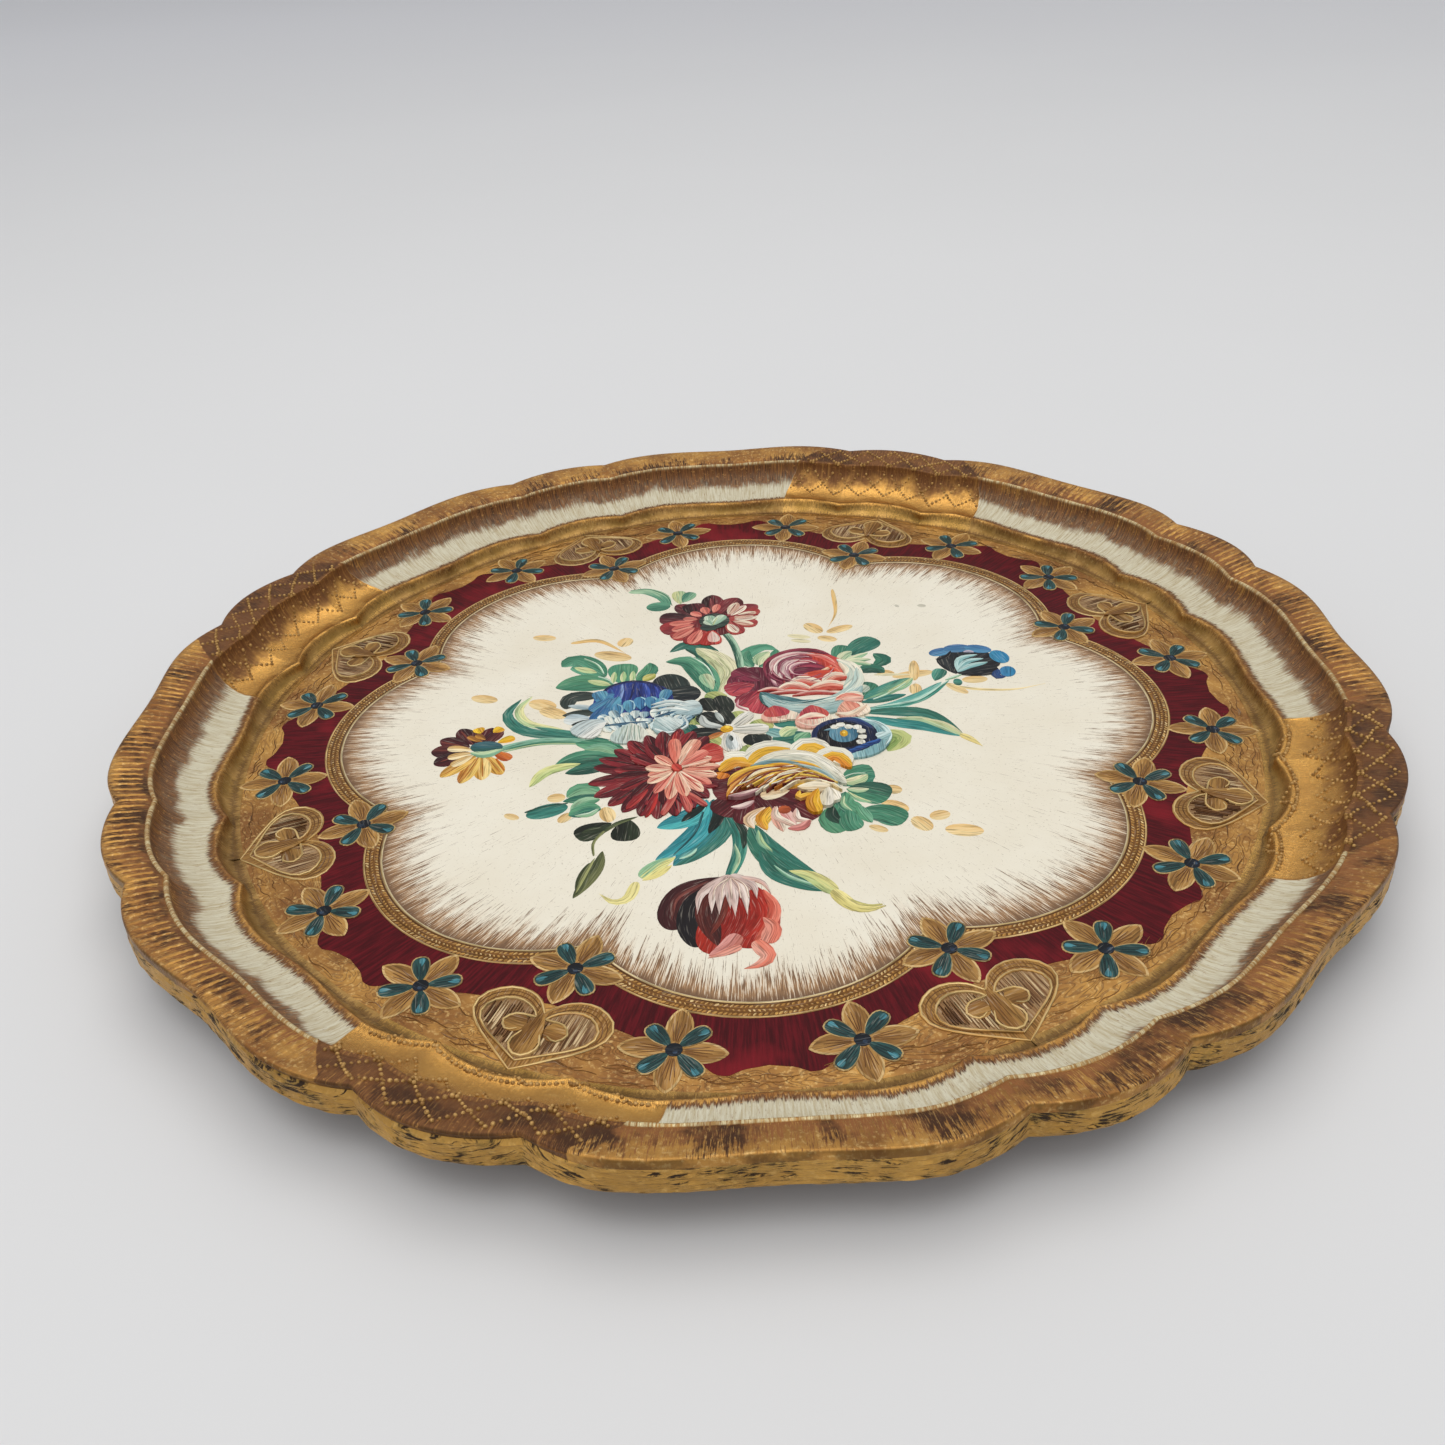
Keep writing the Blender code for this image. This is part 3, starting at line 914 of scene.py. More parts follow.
    def finish(self):
        """Makes the piece of all its strokes."""
        values = {"first": np.vstack(self.first), "second": np.vstack(self.second)}
        values["grain"] = np.vstack(self.grain)
        values["side"] = np.concatenate(self.side)
        piece = make_piece(self.name, np.vstack(self.points), self.faces, self.material, values, sharp=60)
        return ride(piece, self.slot)


# ---------------------------------------------------------------- ornament


def curve_through(*corners):
    """Points along cubic curves, each given by a start, two handles and the next one's start."""
    points = []
    for place in range(0, len(corners) - 1, 3):
        a, b, c, d = (np.array(corner, float) for corner in corners[place : place + 4])
        for t in np.linspace(0, 1, 12, endpoint=False):
            points.append((1 - t) ** 3 * a + 3 * t * (1 - t) ** 2 * b + 3 * t * t * (1 - t) * c + t**3 * d)
    return points + [np.array(corners[-1], float)]


def mirrored(half):
    """A closed outline from its right half."""
    return [tuple(p) for p in half] + [(-x, y) for x, y in half[-2:0:-1]]


# The right halves of the heart's outer and inner edges, from the notch to the tip.
HEART_OUTSIDE = curve_through(
    (0, 139.5), (3, 133), (12.5, 130.5), (17.6, 138), (21.5, 145), (10, 151), (0, 158.3)
)
HEART_INSIDE = curve_through(
    (0, 143.5), (2.5, 136.5), (11.5, 134.5), (15, 141), (18, 146.8), (8, 150.5), (0, 155.6)
)
PALE_LINE = "d3b67c"
DARK_LINE = "5a371a"
WARM_BROWN = "80562a"
HEART_GOLD = ("a67c42", "80592c")
FINE = 2000  # places looked at along a lobe


def braid(number, material):
    """The border of one lobe: three rows of slanted seeds between a cream line and a pale gold one."""
    paint = Paint(f"braid_{number}", material, "gilded_capping", dome=0.1)
    axis = (number - 1) * REPEAT

    def edge(outset, count):
        angles = axis + np.linspace(-REPEAT / 2, REPEAT / 2, count)
        radius = lobe_edge(angles, outset)
        return np.stack([radius * np.cos(np.radians(angles)), radius * np.sin(np.radians(angles))], -1)

    def long_line(width, first, second, outset, lift):
        path = edge(outset, 19)
        paint.stroke("line", width, first, second, *path, rings=60, level=CREAM_TOP + lift)

    long_line(5.4, WARM_BROWN, "6a461e", 2.6, 0.01)
    long_line(0.7, "d6c39a", "b39a68", 0.1, 0.02)
    long_line(0.4, "4a3018", "5a3a1c", 0.75, 0.02)
    for outset, slant in ((1.5, 40), (2.75, -40), (4.0, 40)):
        row = edge(outset, FINE)
        lengths = np.concatenate([[0.0], np.cumsum(np.linalg.norm(np.diff(row, axis=0), axis=1))])
        place = 0.6
        while place < lengths[-1]:
            here = int(np.searchsorted(lengths, place))
            ahead = row[min(here + 5, FINE - 1)] - row[max(here - 5, 0)]
            ahead /= np.linalg.norm(ahead)
            turn = math.radians(slant + paint.picks.uniform(-14, 14))
            reach = paint.picks.uniform(0.7, 0.95)
            cos, sin = math.cos(turn) * reach, math.sin(turn) * reach
            step = np.array([ahead[0] * cos - ahead[1] * sin, ahead[0] * sin + ahead[1] * cos])
            gold = paint.picks.choice(["dcb26c", "cd9e54", "ebce92", "c08e48"])
            width = paint.picks.uniform(0.85, 1.15)
            ends = row[here - 1] - step, row[here - 1] + step
            paint.stroke("seed", width, gold, "9c7038", *ends, rings=5, level=CREAM_TOP + 0.03)
            place += paint.picks.uniform(1.05, 1.45)
    long_line(0.6, "d8b97c", "a98350", 4.95, 0.02)
    paint.finish()


def turned_by(degrees):
    """A function that turns a point about the origin."""
    cos, sin = math.cos(math.radians(degrees)), math.sin(math.radians(degrees))
    return lambda x, y: (x * cos - y * sin, x * sin + y * cos)


def small_flower(paint, axis, radius):
    """Four gold petals in a cross and four teal ones between them, round a navy dot."""
    paint.stand(axis, radius)
    for quarter in range(4):
        at = turned_by(90 * quarter)
        reach = 12.6 + paint.picks.uniform(-0.5, 0.5)
        paint.stroke("leaf", 6.8, "cba970", "b08a50", at(0, 0.6), at(0.3, 7), at(0, reach + 0.8))
        paint.stroke("leaf", 5.8, "ab8044", "8a6230", at(0, 0.6), at(0.3, 7), at(0, reach))
        for offset in (-1.5, -0.5, 0.6, 1.6):
            length = 9.8 - abs(offset) * 0.9
            low, high = at(offset * 0.3, 2.6), at(offset, length)
            paint.stroke("line", 0.3, DARK_LINE, "7a5026", low, high, dome=0.01)
    for quarter in range(4):
        at = turned_by(45 + 90 * quarter)
        reach = 10.3 + paint.picks.uniform(-0.4, 0.4)
        paint.stroke("petal", 5.0, "b89a64", "8c7448", at(0, 1.2), at(0, reach + 0.4))
        paint.stroke("petal", 4.4, "2a4e4c", "1c3634", at(0, 1.4), at(0, reach), split=0.3)
        paint.stroke("comma", 1.7, "4a8894", "34686e", at(0.4, reach - 0.4), at(0.2, reach - 3.4), split=0.4)
        for offset in (-1.0, 0.0, 1.0):
            low, high = at(offset * 0.6, 3.4), at(offset, 8.2)
            paint.stroke("line", 0.28, "14262a", "1c3438", low, high, dome=0.01)
    paint.stroke("blob", 4.2, "16202c", "0d141c", (-2.1, 0), (2.1, 0))
    paint.stroke("blob", 1.2, "33465c", "22303f", (-1.0, 0.6), (0.2, 0.9))


def heart(paint, axis):
    """A gilt heart filled with brown and cream hatching, with a trefoil hung in its notch."""
    paint.stand(axis)
    paint.shape(mirrored(HEART_OUTSIDE), (0, 146), *HEART_GOLD, split=0.0)
    for inset in (0.35, 0.68):
        ring = [np.array(a) * (1 - inset) + np.array(b) * inset for a, b in zip(HEART_OUTSIDE, HEART_INSIDE)]
        for side in (-1, 1):
            path = [(side * x, y) for x, y in ring[2:-2:3]]
            paint.stroke("line", 0.32, DARK_LINE, WARM_BROWN, *path, dome=0.01)
    paint.shape(mirrored(HEART_INSIDE), (0, 147), "ab8a62", "86623e", split=0.12)
    inside = np.array(HEART_INSIDE)
    widest = int(np.argmax(inside[:, 0]))
    for x in np.arange(-14.2, 14.3, 0.75):
        low = np.interp(abs(x), inside[:widest, 0], inside[:widest, 1]) + paint.picks.uniform(0.2, 3.0)
        high = np.interp(abs(x), inside[:widest:-1, 0], inside[:widest:-1, 1]) - paint.picks.uniform(0.2, 3.0)
        tone = paint.picks.choice(["6e4a2c", "7c5838", "5e3e24", "d0b68c", "bfa27a"])
        paint.stroke("comma", paint.picks.uniform(0.3, 0.7), tone, tone, (x, high), (x, low), dome=0.01)
    for half, width in ((HEART_OUTSIDE, 0.75), (HEART_INSIDE, 0.65)):
        for side in (-1, 1):
            line = [(side * x, y) for x, y in half[::3]]
            paint.stroke("line", width, PALE_LINE, "b98f52", *line, rings=26, dome=0.1)
    for side in (-1, 1):
        curl = [(0, 141.5), (side * 2.4, 141.6), (side * 6.5, 142), (side * 8.6, 144.8), (side * 6.6, 147.4)]
        curl += [(side * 4.0, 146.4)]
        paint.stroke("blob", 6.2, *HEART_GOLD, (side * 2.4, 144.6), (side * 8.2, 144.6))
        paint.stroke("line", 0.6, PALE_LINE, "c7a468", *curl, dome=0.1)
    paint.stroke("petal", 6.4, *HEART_GOLD, (0, 140.0), (0, 154.0))
    cup = [(-2.4, 146.8), (-3.8, 150.6), (-1.6, 153.8), (1.6, 153.8), (3.8, 150.6), (2.4, 146.8)]
    paint.stroke("line", 0.6, PALE_LINE, "c7a468", *cup, dome=0.1)
    for offset in (-1.2, 0.0, 1.2):
        paint.stroke("line", 0.28, DARK_LINE, WARM_BROWN, (offset * 0.5, 142), (offset, 150.5), dome=0.01)


def scribbles(number, material):
    """Loose flowing lines scratched in the gold ground of one repeat, most of them near the rim."""
    paint = Paint(f"scratched_lines_{number}", material, "gilded_capping", dome=0.01)
    start = (number - 1) * REPEAT + FIRST_HEART
    for _ in range(60):
        angle = start + paint.picks.uniform(-22, 22)
        radius = paint.picks.uniform(145, 156.6)
        if radius < burgundy_edge(angle) + 1.0:
            continue
        span = paint.picks.uniform(1.5, 5.0)
        drift = paint.picks.uniform(-1.8, 1.8)
        path = []
        for share in np.linspace(-0.5, 0.5, 5):
            turn = math.radians(angle + share * span)
            reach = min(radius + share * drift + 0.5 * math.sin(share * 9 + angle), 156.8)
            path.append((reach * math.cos(turn), reach * math.sin(turn)))
        dark = paint.picks.choice([DARK_LINE, "6b4520", "4c2c14"])
        paint.stroke("comma", paint.picks.uniform(0.2, 0.36), dark, "8a5f2e", *path)
    paint.finish()


def build_ornament(oil, leaf):
    for number in range(1, REPEATS + 1):
        braid(number, leaf)
        scribbles(number, leaf)
    for number in range(1, REPEATS + 1):
        axis = FIRST_HEART + (number - 1) * REPEAT
        paint = Paint(f"heart_{number}", leaf, "gilded_capping")
        heart(paint, axis)
        paint.finish()
        for name, radius, turn in (("inner", 123.0, 0.0), ("left", 144.8, -13.74), ("right", 144.8, 13.74)):
            paint = Paint(f"border_flower_{name}_{number}", oil)
            small_flower(paint, axis + turn, radius)
            paint.finish()


# ---------------------------------------------------------------- bouquet

# The paints used most, as hex codes.
PINE = "2c6454"
SPRUCE = "2f6b5c"
IVY = "35705c"
FERN = "3f7c60"
JADE = "4b8a6c"
MOSS = "57936f"
SAGE = "8ab48c"
MINT = "a9cbb0"
MIST = "cfe0cc"
PLUM = "6c2236"
ROSE = "b5434c"


def circle_outline(x, y, across, up, count=28):
    turns = np.linspace(0, 2 * math.pi, count, endpoint=False)
    return [(x + across * math.cos(turn), y + up * math.sin(turn)) for turn in turns]


def fan(paint, centre, tips, width, colours, start=0.25, kind="petal", vein=None):
    """Petals from near a centre to each tip, their colours taken in turn, with a fine vein in each."""
    x, y = centre
    for place, (tip_x, tip_y) in enumerate(tips):
        first, second = colours[place % len(colours)]
        foot = (x + start * (tip_x - x), y + start * (tip_y - y))
        paint.stroke(kind, width * paint.picks.uniform(0.9, 1.1), first, second, foot, (tip_x, tip_y))
        if vein:
            aside = paint.picks.uniform(-0.14, 0.14) * width
            reach = [a + 0.88 * (b - a) + aside for a, b in zip(foot, (tip_x, tip_y))]
            paint.stroke("comma", 0.55, vein, vein, reach, foot, dome=0.01)


def pale_sprigs(paint):
    dabs = ((6.5, (-51, 47), (-38, 42)), (5.5, (-42, 51), (-39, 57)), (4.4, (-74, 61.4), (-65.6, 59.6)))
    dabs += ((5, (-91, 22), (-82, 18.6)), (6.5, (-71, 17), (-62, 12)), (6, (-67, 12), (-58, 6)))
    dabs += ((5.5, (24, 60.5), (29, 53)), (4.5, (31, 53), (40.5, 57)), (4.2, (27.5, 50), (34, 47)))
    dabs += ((4, (45, 24), (51, 22)), (4.6, (50, 20), (64, 22)), (3.6, (58.5, 30), (57, 17)))
    dabs += ((4.2, (57, 15), (56, 8)), (4.6, (72.5, 15.5), (81, 15.5)), (3.6, (67, 14), (73, 7)))
    dabs += ((4.6, (39.5, -43), (44.5, -45)), (5.6, (38, -50), (45, -55)), (5.4, (46, -58), (50, -64.6)))
    dabs += ((4.6, (50.6, -58.6), (56.6, -57)), (5.8, (54, -64.4), (64.6, -66.4)))
    dabs += ((4.6, (-60.5, -39), (-55, -39)), (2.8, (-72.5, -46), (-68, -48.5)))
    dabs += ((3.6, (-56, -51.5), (-53, -47)), (4.8, (-41, -52.5), (-43, -45)), (3, (33, -61), (38, -64)))
    for width, *path in dabs:
        paint.stroke("blob", width, "dcb678", "e6cc96", *path, split=0.5)
    for width, *path in ((2.4, (-60, 55.5), (-50, 56), (-40, 46)), (1.7, (36, 86), (35.5, 68), (32, 57))):
        paint.stroke("comma", width, "e2c284", "d6ac68", *path, split=0.4)
    paint.stroke("comma", 1.5, "ecd9a8", "e4cc90", (68, 13), (76, 9.5), (88, 8), (99, 10.5))
    for width, *path in ((3, (17, 52.5), (25, 50)), (2.6, (18, 49), (25, 47)), (1.4, (44, 22), (56, 21))):
        paint.stroke("blob", width, "e4dab4", "dcd2a6", *path, split=0.2)
    for width, *path in ((1.4, (57.5, 71), (58.6, 69)), (2.4, (65.5, 69.5), (68.5, 68.5))):
        paint.stroke("blob", width, "b9b4a2", "cac4b2", *path)


def top_dahlia(paint):
    draw = paint.stroke
    draw("line", 2.7, "a4c4a6", "2d5a48", (-8, 62), (-3.5, 53), (-1, 42), (-0.3, 30), (-1.5, 23))
    draw("line", 0.6, "24463a", "2d5a48", (-8.5, 61), (-4.4, 53), (-2.2, 42), (-1.4, 32))
    paint.shape(circle_outline(-9, 66, 12, 11), (-9, 66), "702428", "5a1b20")
    dark = (("4c1a20", "6d2a30"), ("2b1013", "6a272c"), ("7c2b31", "4a181c"), ("7a2a32", "8f3a3e"))
    fan(paint, (-9, 66), ((-22.5, 80), (-9, 86.5), (0.5, 83), (7.5, 76.5)), 8.4, dark, 0.3, "ray", "8f4a48")
    draw("petal", 8.6, "2a1012", "5a2228", (-15, 71), (-16.5, 80.5))
    draw("petal", 9, "5c2229", "35141a", (-16, 69), (-28.6, 70))
    draw("petal", 9.5, "7d2f33", "942f31", (-15, 66), (-27.8, 60.5))
    for tip in ((-24, 55), (-17.5, 49.5)):
        draw("petal", 8, "a33a36", "8f2d2c", (-12.5, 61), tip)
    draw("petal", 6, "b5352b", "a32f28", (-10, 59), (-12, 48.4))
    draw("petal", 5.4, "bc4038", "a32f28", (-9.5, 59), (-8.6, 48.6))
    for tip in ((7.8, 73), (6.8, 62), (0.2, 55.2)):
        draw("petal", 6.4, "9c3434", "b04a42", (-4, 66), tip)
    pink = (("d98573", "c8695c"), ("df8f7c", "c46458"))
    low = ((-25, 65.4), (-24, 60.2), (-23.6, 54.4), (-17.5, 49.6))
    fan(paint, (-11, 66), low, 4.4, pink, 0.38, "ray", "a8453c")
    fan(paint, (-10, 67), ((-20, 68.8), (-17, 73.6), (-12.4, 77), (-7, 78.8)), 3.4, pink, 0.45, "ray")
    beige = (("d9c2b0", "e6d8c2"), ("e6d6bc", "d2a48e"))
    draw("petal", 4.4, "e0cdbd", "d4a296", (-9.6, 58), (-8.8, 50))
    right = ((-0.6, 56), (5.4, 61.6), (6.8, 66.8), (6.8, 70.6), (3.2, 76.4), (0.2, 79))
    fan(paint, (-5, 66), right, 3.8, beige, 0.3, "ray", "a8645a")
    draw("line", 0.7, "7d2a2c", "9c3434", (-1, 68.8), (7.4, 68.8))
    draw("blob", 11.5, "26342e", "31433a", (-13.6, 63.5), (-3.6, 68))
    draw("blob", 5, "222e2c", "3a4a42", (-13.8, 60.8), (-7.4, 61))
    for tip, width in (((-10.6, 69.8), 4.4), ((-5, 69.6), 4.2), ((-12, 66), 3)):
        draw("petal", width, "c5d2b8", "93b49a", (-9.4, 62.2), tip)
    draw("line", 0.5, "7f9a6c", "c8c890", (-9.2, 62.4), (-7.6, 68))
    curl = ((-40.6, 92.6), (-34, 92.8), (-28, 87.8), (-25.2, 80))
    draw("blob", 5.2, "9dbb98", "5f9a7c", *curl, lean=0.8, split=0.4)
    draw("blob", 7.2, "5f9a7c", "3f7a62", (-33.6, 79.6), (-24.6, 79.8))
    draw("line", 0.5, "35674f", "3f7a62", (-40, 94.2), (-33, 94.4), (-26.4, 88.4), (-24, 80))
    draw("petal", 5.6, "c9cb92", "a8c094", (-21, 81), (-21.6, 91.2))
    draw("petal", 5, "3f7a62", "8fbc98", (-20, 82), (-16.4, 89.6))


def upper_leaves(paint):
    draw = paint.stroke
    draw("leaf", 11, FERN, "5d9a7c", (-62, 39), (-57, 42), (-46.3, 30.6))
    draw("leaf", 3.4, "d2d39c", "b6c68e", (-57.5, 38), (-49.5, 33.6))
    draw("line", 0.8, MIST, "8fb890", (-54.5, 44), (-49.5, 39), (-47, 32.4))
    draw("leaf", 11, MOSS, FERN, (-63, 25), (-54, 27.4), (-43, 24.6))
    draw("leaf", 3.4, "d2d39c", "a9bd84", (-52.4, 28.6), (-44.4, 24.8))
    draw("line", 0.7, "dce8d8", MINT, (-49, 31), (-45.5, 28.6), (-43, 25))
    draw("petal", 10.5, JADE, MOSS, (-40.5, 25), (-40.6, 38.8))
    for x in (-43.6, -40.4, -37.2):
        draw("leaf", 2.2, "cfd2a0", "9cbb84", (x, 26), (x + 0.2, 33.5))
    draw("leaf", 6.2, FERN, MOSS, (-31.4, 38.4), (-31.4, 33), (-35.6, 26.4))
    draw("leaf", 4, "cdc374", "a8a850", (-33.5, 26.5), (-29.4, 30.6))
    draw("leaf", 9, PINE, "397362", (-24.6, 45), (-18, 49.6), (-11.6, 42.6), (-9, 28), (-8, 15.5))
    draw("leaf", 10.4, "b4b98c", "dad4ae", (-8.2, 15), (-5.4, 29), (-9, 39), (-15.4, 47))
    for offset in (-1.6, 0.6, 2.4):
        draw("line", 0.5, "98a078", "c8c494", (-8.2, 18), (-6.4 + offset, 29), (-9.6 + offset, 38))
    draw("leaf", 9.4, "5a9474", "37745c", (-25.8, 38.4), (-18, 37.4), (-12.4, 27), (-9.8, 13.8))
    draw("line", 1.0, PINE, "24503f", (-19, 46.6), (-12.4, 37), (-9, 22))
    draw("petal", 4.8, "8fb48e", "c9d2a8", (-10, 18), (-13, 28.6))
    draw("line", 0.6, "dfe8d4", MINT, (-17.6, 41.4), (-12, 34), (-9.2, 24))
    draw("leaf", 6, JADE, "5d9a7c", (-0.4, 32), (2.4, 41), (8, 45), (12.6, 42.6))
    draw("leaf", 6, FERN, "6aa080", (3, 43), (1, 38), (4, 31.6))
    draw("leaf", 5, MOSS, FERN, (12.6, 43), (11, 36), (6, 31.4))
    draw("leaf", 5.2, "d3d6ac", "a4bf94", (10, 41.6), (6.6, 37), (6, 32.4))


def blue_flower(paint):
    draw = paint.stroke
    draw("blob", 13, "303a36", "252d2c", (-26, 30), (-22, 14))
    draw("blob", 11, "252d2c", "1b2126", (-25, 16), (-14, 17))
    draw("blob", 6.4, "2a3430", "39433e", (-58.4, 11), (-57, 18), (-48, 18.4))
    draw("leaf", 3, "c4cecc", "8fa2a6", (-58, 13), (-49, 10.6))
    draw("leaf", 4.6, "2a3430", "39433e", (-59.4, 7), (-47, 8.4))
    draw("petal", 6.6, "dfe4de", "a9b8bc", (-48, 2.4), (-58.6, 5))
    draw("leaf", 4, "2a3430", "20282a", (-56, 1), (-46, 2.4))
    paint.shape(circle_outline(-36.4, 13, 13.4, 13), (-36, 13), "2b3f86", "1f2d68")
    left = ((-44, 22, 3.4, "3d64a0"), (-40.5, 25, 2.6, "7f97c2"), (-37, 25.4, 2.2, "1c2452"))
    for x, y, width, colour in left:
        draw("leaf", width, colour, "2b3f86", (x, y), (x - 1.2, y - 13))
    right = ((-33.5, 25, 3.6, "3a54a6"), (-29.6, 22.4, 3.2, "33489a"), (-35.4, 22, 1.4, "16204c"))
    for x, y, width, colour in right:
        draw("leaf", width, colour, "22306e", (x, y), (x + 1.6, y - 11))
    draw("line", 1.3, "10183a", "1c2656", (-47.4, 19), (-44, 24), (-37, 26.4), (-29, 23.4), (-25.4, 17))
    blue = (("4f8bab", "3a6c96"), ("5d9ab2", "42769c"), ("4580a4", "2f5c8a"))
    low = ((-49.4, 15.6), (-50, 8.5), (-49, 2), (-44.6, 4), (-44, 9.4))
    fan(paint, (-40, 20), low, 5.6, blue, 0.3)
    draw("petal", 5.4, "4d86a8", "5d9ab2", (-46.5, 15), (-48.4, 21))
    draw("petal", 4.2, "6aa0b4", "4580a4", (-27, 12), (-25, 19.8))
    row = ((-41.6, 9), (-37.6, 11), (-34, 12.6), (-30.4, 12.4), (-27, 11))
    for place, (x, y) in enumerate(row):
        draw("petal", 4.6, *blue[place % 3], (x + 0.4, y - 5), (x, y + 3))
        draw("line", 0.7, "a9c9d0", "6aa0b4", (x + 1.6, y - 3), (x + 1.8, y + 1), (x, y + 3))
    frost = (("dfe4da", "a4b9bd"), ("cbd9d4", "86a4b0"), ("e6e6d8", "bccbc6"))
    for level, (start, end, count) in enumerate(((-44, -21, 9), (-45, -20, 10), (-43, -22, 9))):
        y = 7.0 - 3.6 * level
        for place, x in enumerate(np.linspace(start, end, count)):
            lean = (x + 33) * 0.12
            tip = (x + lean * 2 + paint.picks.uniform(-1, 1), y + paint.picks.uniform(-1.6, 1.8))
            draw("petal", 3.4, *frost[(place + level) % 3], (x, y - 4.6), tip)
            draw("line", 0.6, "46687c", "5b7f92", (x + 1.3, y - 3.4), (tip[0] + 1.5, tip[1] - 0.8))
    draw("petal", 9.5, "c8d4d0", "9bb2b4", (-24, 5), (-13.8, 7.4))
    for y, reach in ((10.6, -17.6), (8.6, -18.6), (6, -17.6)):
        draw("leaf", 1.7, "e8ebe2", "b4c5c4", (-30.4, y - 1), (-24, y + 0.8), (reach, y - 1.4))
    draw("leaf", 1.4, "33566e", "4a6f84", (-45, -1), (-38, -0.6), (-31, 0))
    draw("leaf", 1.2, "2a4256", "4a6f84", (-29, 2), (-22, 5))
    draw("petal", 10.4, "e4e3da", "b6c2c0", (-44.4, 1.4), (-49, -1), (-53.4, -6.6))
    draw("petal", 10.6, "cfdad4", "9db4b2", (-28.4, 1.4), (-22.6, -6.2))
    draw("petal", 12.4, "dcdccc", "bccac2", (-36.6, -0.5), (-37, -12.4))
    for offset in (-3.6, -1.8, 0, 1.8, 3.6):
        draw("line", 0.5, "8a9c90", "a8b4a4", (-36.6 + offset * 0.6, -2), (-37 + offset, -10.6))
    draw("line", 0.8, "e8eee8", "c9d6d2", (-29, -5), (-24, -7.6), (-18.6, -4), (-19.4, 1))


def yellow_brown_flower(paint):
    """The small yellow and brown flower at the far left, on its curling stem and leaf."""
    draw = paint.stroke
    draw("leaf", 4.8, "3f8272", SPRUCE, (-74, 19), (-77.6, 9), (-71, -1), (-58, -5), (-43, -9))
    draw("leaf", 3.4, "d8d49a", "a9c08e", (-70.4, 20.4), (-74, 12), (-70, 3.4), (-58, -1.6))
    draw("leaf", 2.6, "4b8a78", SPRUCE, (-68, 1), (-58, -3), (-46, -6.4))
    draw("line", 3.2, "83b096", FERN, (-80, -11.4), (-66, -7.4), (-52, -9), (-43, -13))
    draw("line", 0.9, "cfd6a2", SAGE, (-78, -12.8), (-65, -9.4), (-50, -10.6))
    plum = (("4a1a1e", "2e1014"), ("5a2024", "3a1418"), ("3c161a", "5d2a28"))
    left = ((-92, 2.4), (-97.6, -3.4), (-99.6, -10.4), (-97.6, -17.6))
    fan(paint, (-85, -10), left, 7, plum, 0.2, "ray", "7a3a2e")
    fan(paint, (-84, -10), ((-86, 1.6), (-81.6, 2), (-78.6, 0.8)), 5.4, plum, 0.2, "ray")
    gold = (("f0c232", "dba01f"), ("e8b428", "c98a1c"))
    for foot, tip in (((-85, -1), (-86.5, 2.4)), ((-81, -1), (-78.4, 1.8)), ((-79, -7), (-73.8, -4.2))):
        draw("petal", 4, *gold[0], foot, tip)
    draw("petal", 4.2, "cf6f2c", "b5541f", (-79.6, -12), (-73.8, -17))
    ochre = (("e0b45a", "c08a34"), ("ecd08a", "cf9a40"), ("e2bd66", "b5742c"))
    low = ((-75.6, -25), (-81.4, -27.4), (-88, -28.6), (-94.6, -24.6))
    fan(paint, (-83, -12), low, 5.8, ochre, 0.15, "ray", "b5742c")
    draw("line", 0.8, "cf7c2c", "b5641f", (-78.4, -16), (-75, -23))
    fan(paint, (-83, -11), ((-94.6, -8.8), (-93.8, -14.4), (-92, -19)), 3.6, (("efdcae", "d0a765"),), 0.3)
    for foot, tip in (((-84, -6), (-89, -2.4)), ((-83, -5), (-86.4, -1.6))):
        draw("petal", 2.4, "c58a3a", "8c5a28", foot, tip)
    draw("blob", 6.6, "35626a", "2c5a55", (-87.4, -8.6), (-77, -10))
    draw("leaf", 3.6, "bcd0a4", "7da888", (-87, -12), (-82, -13.6), (-76.6, -11))


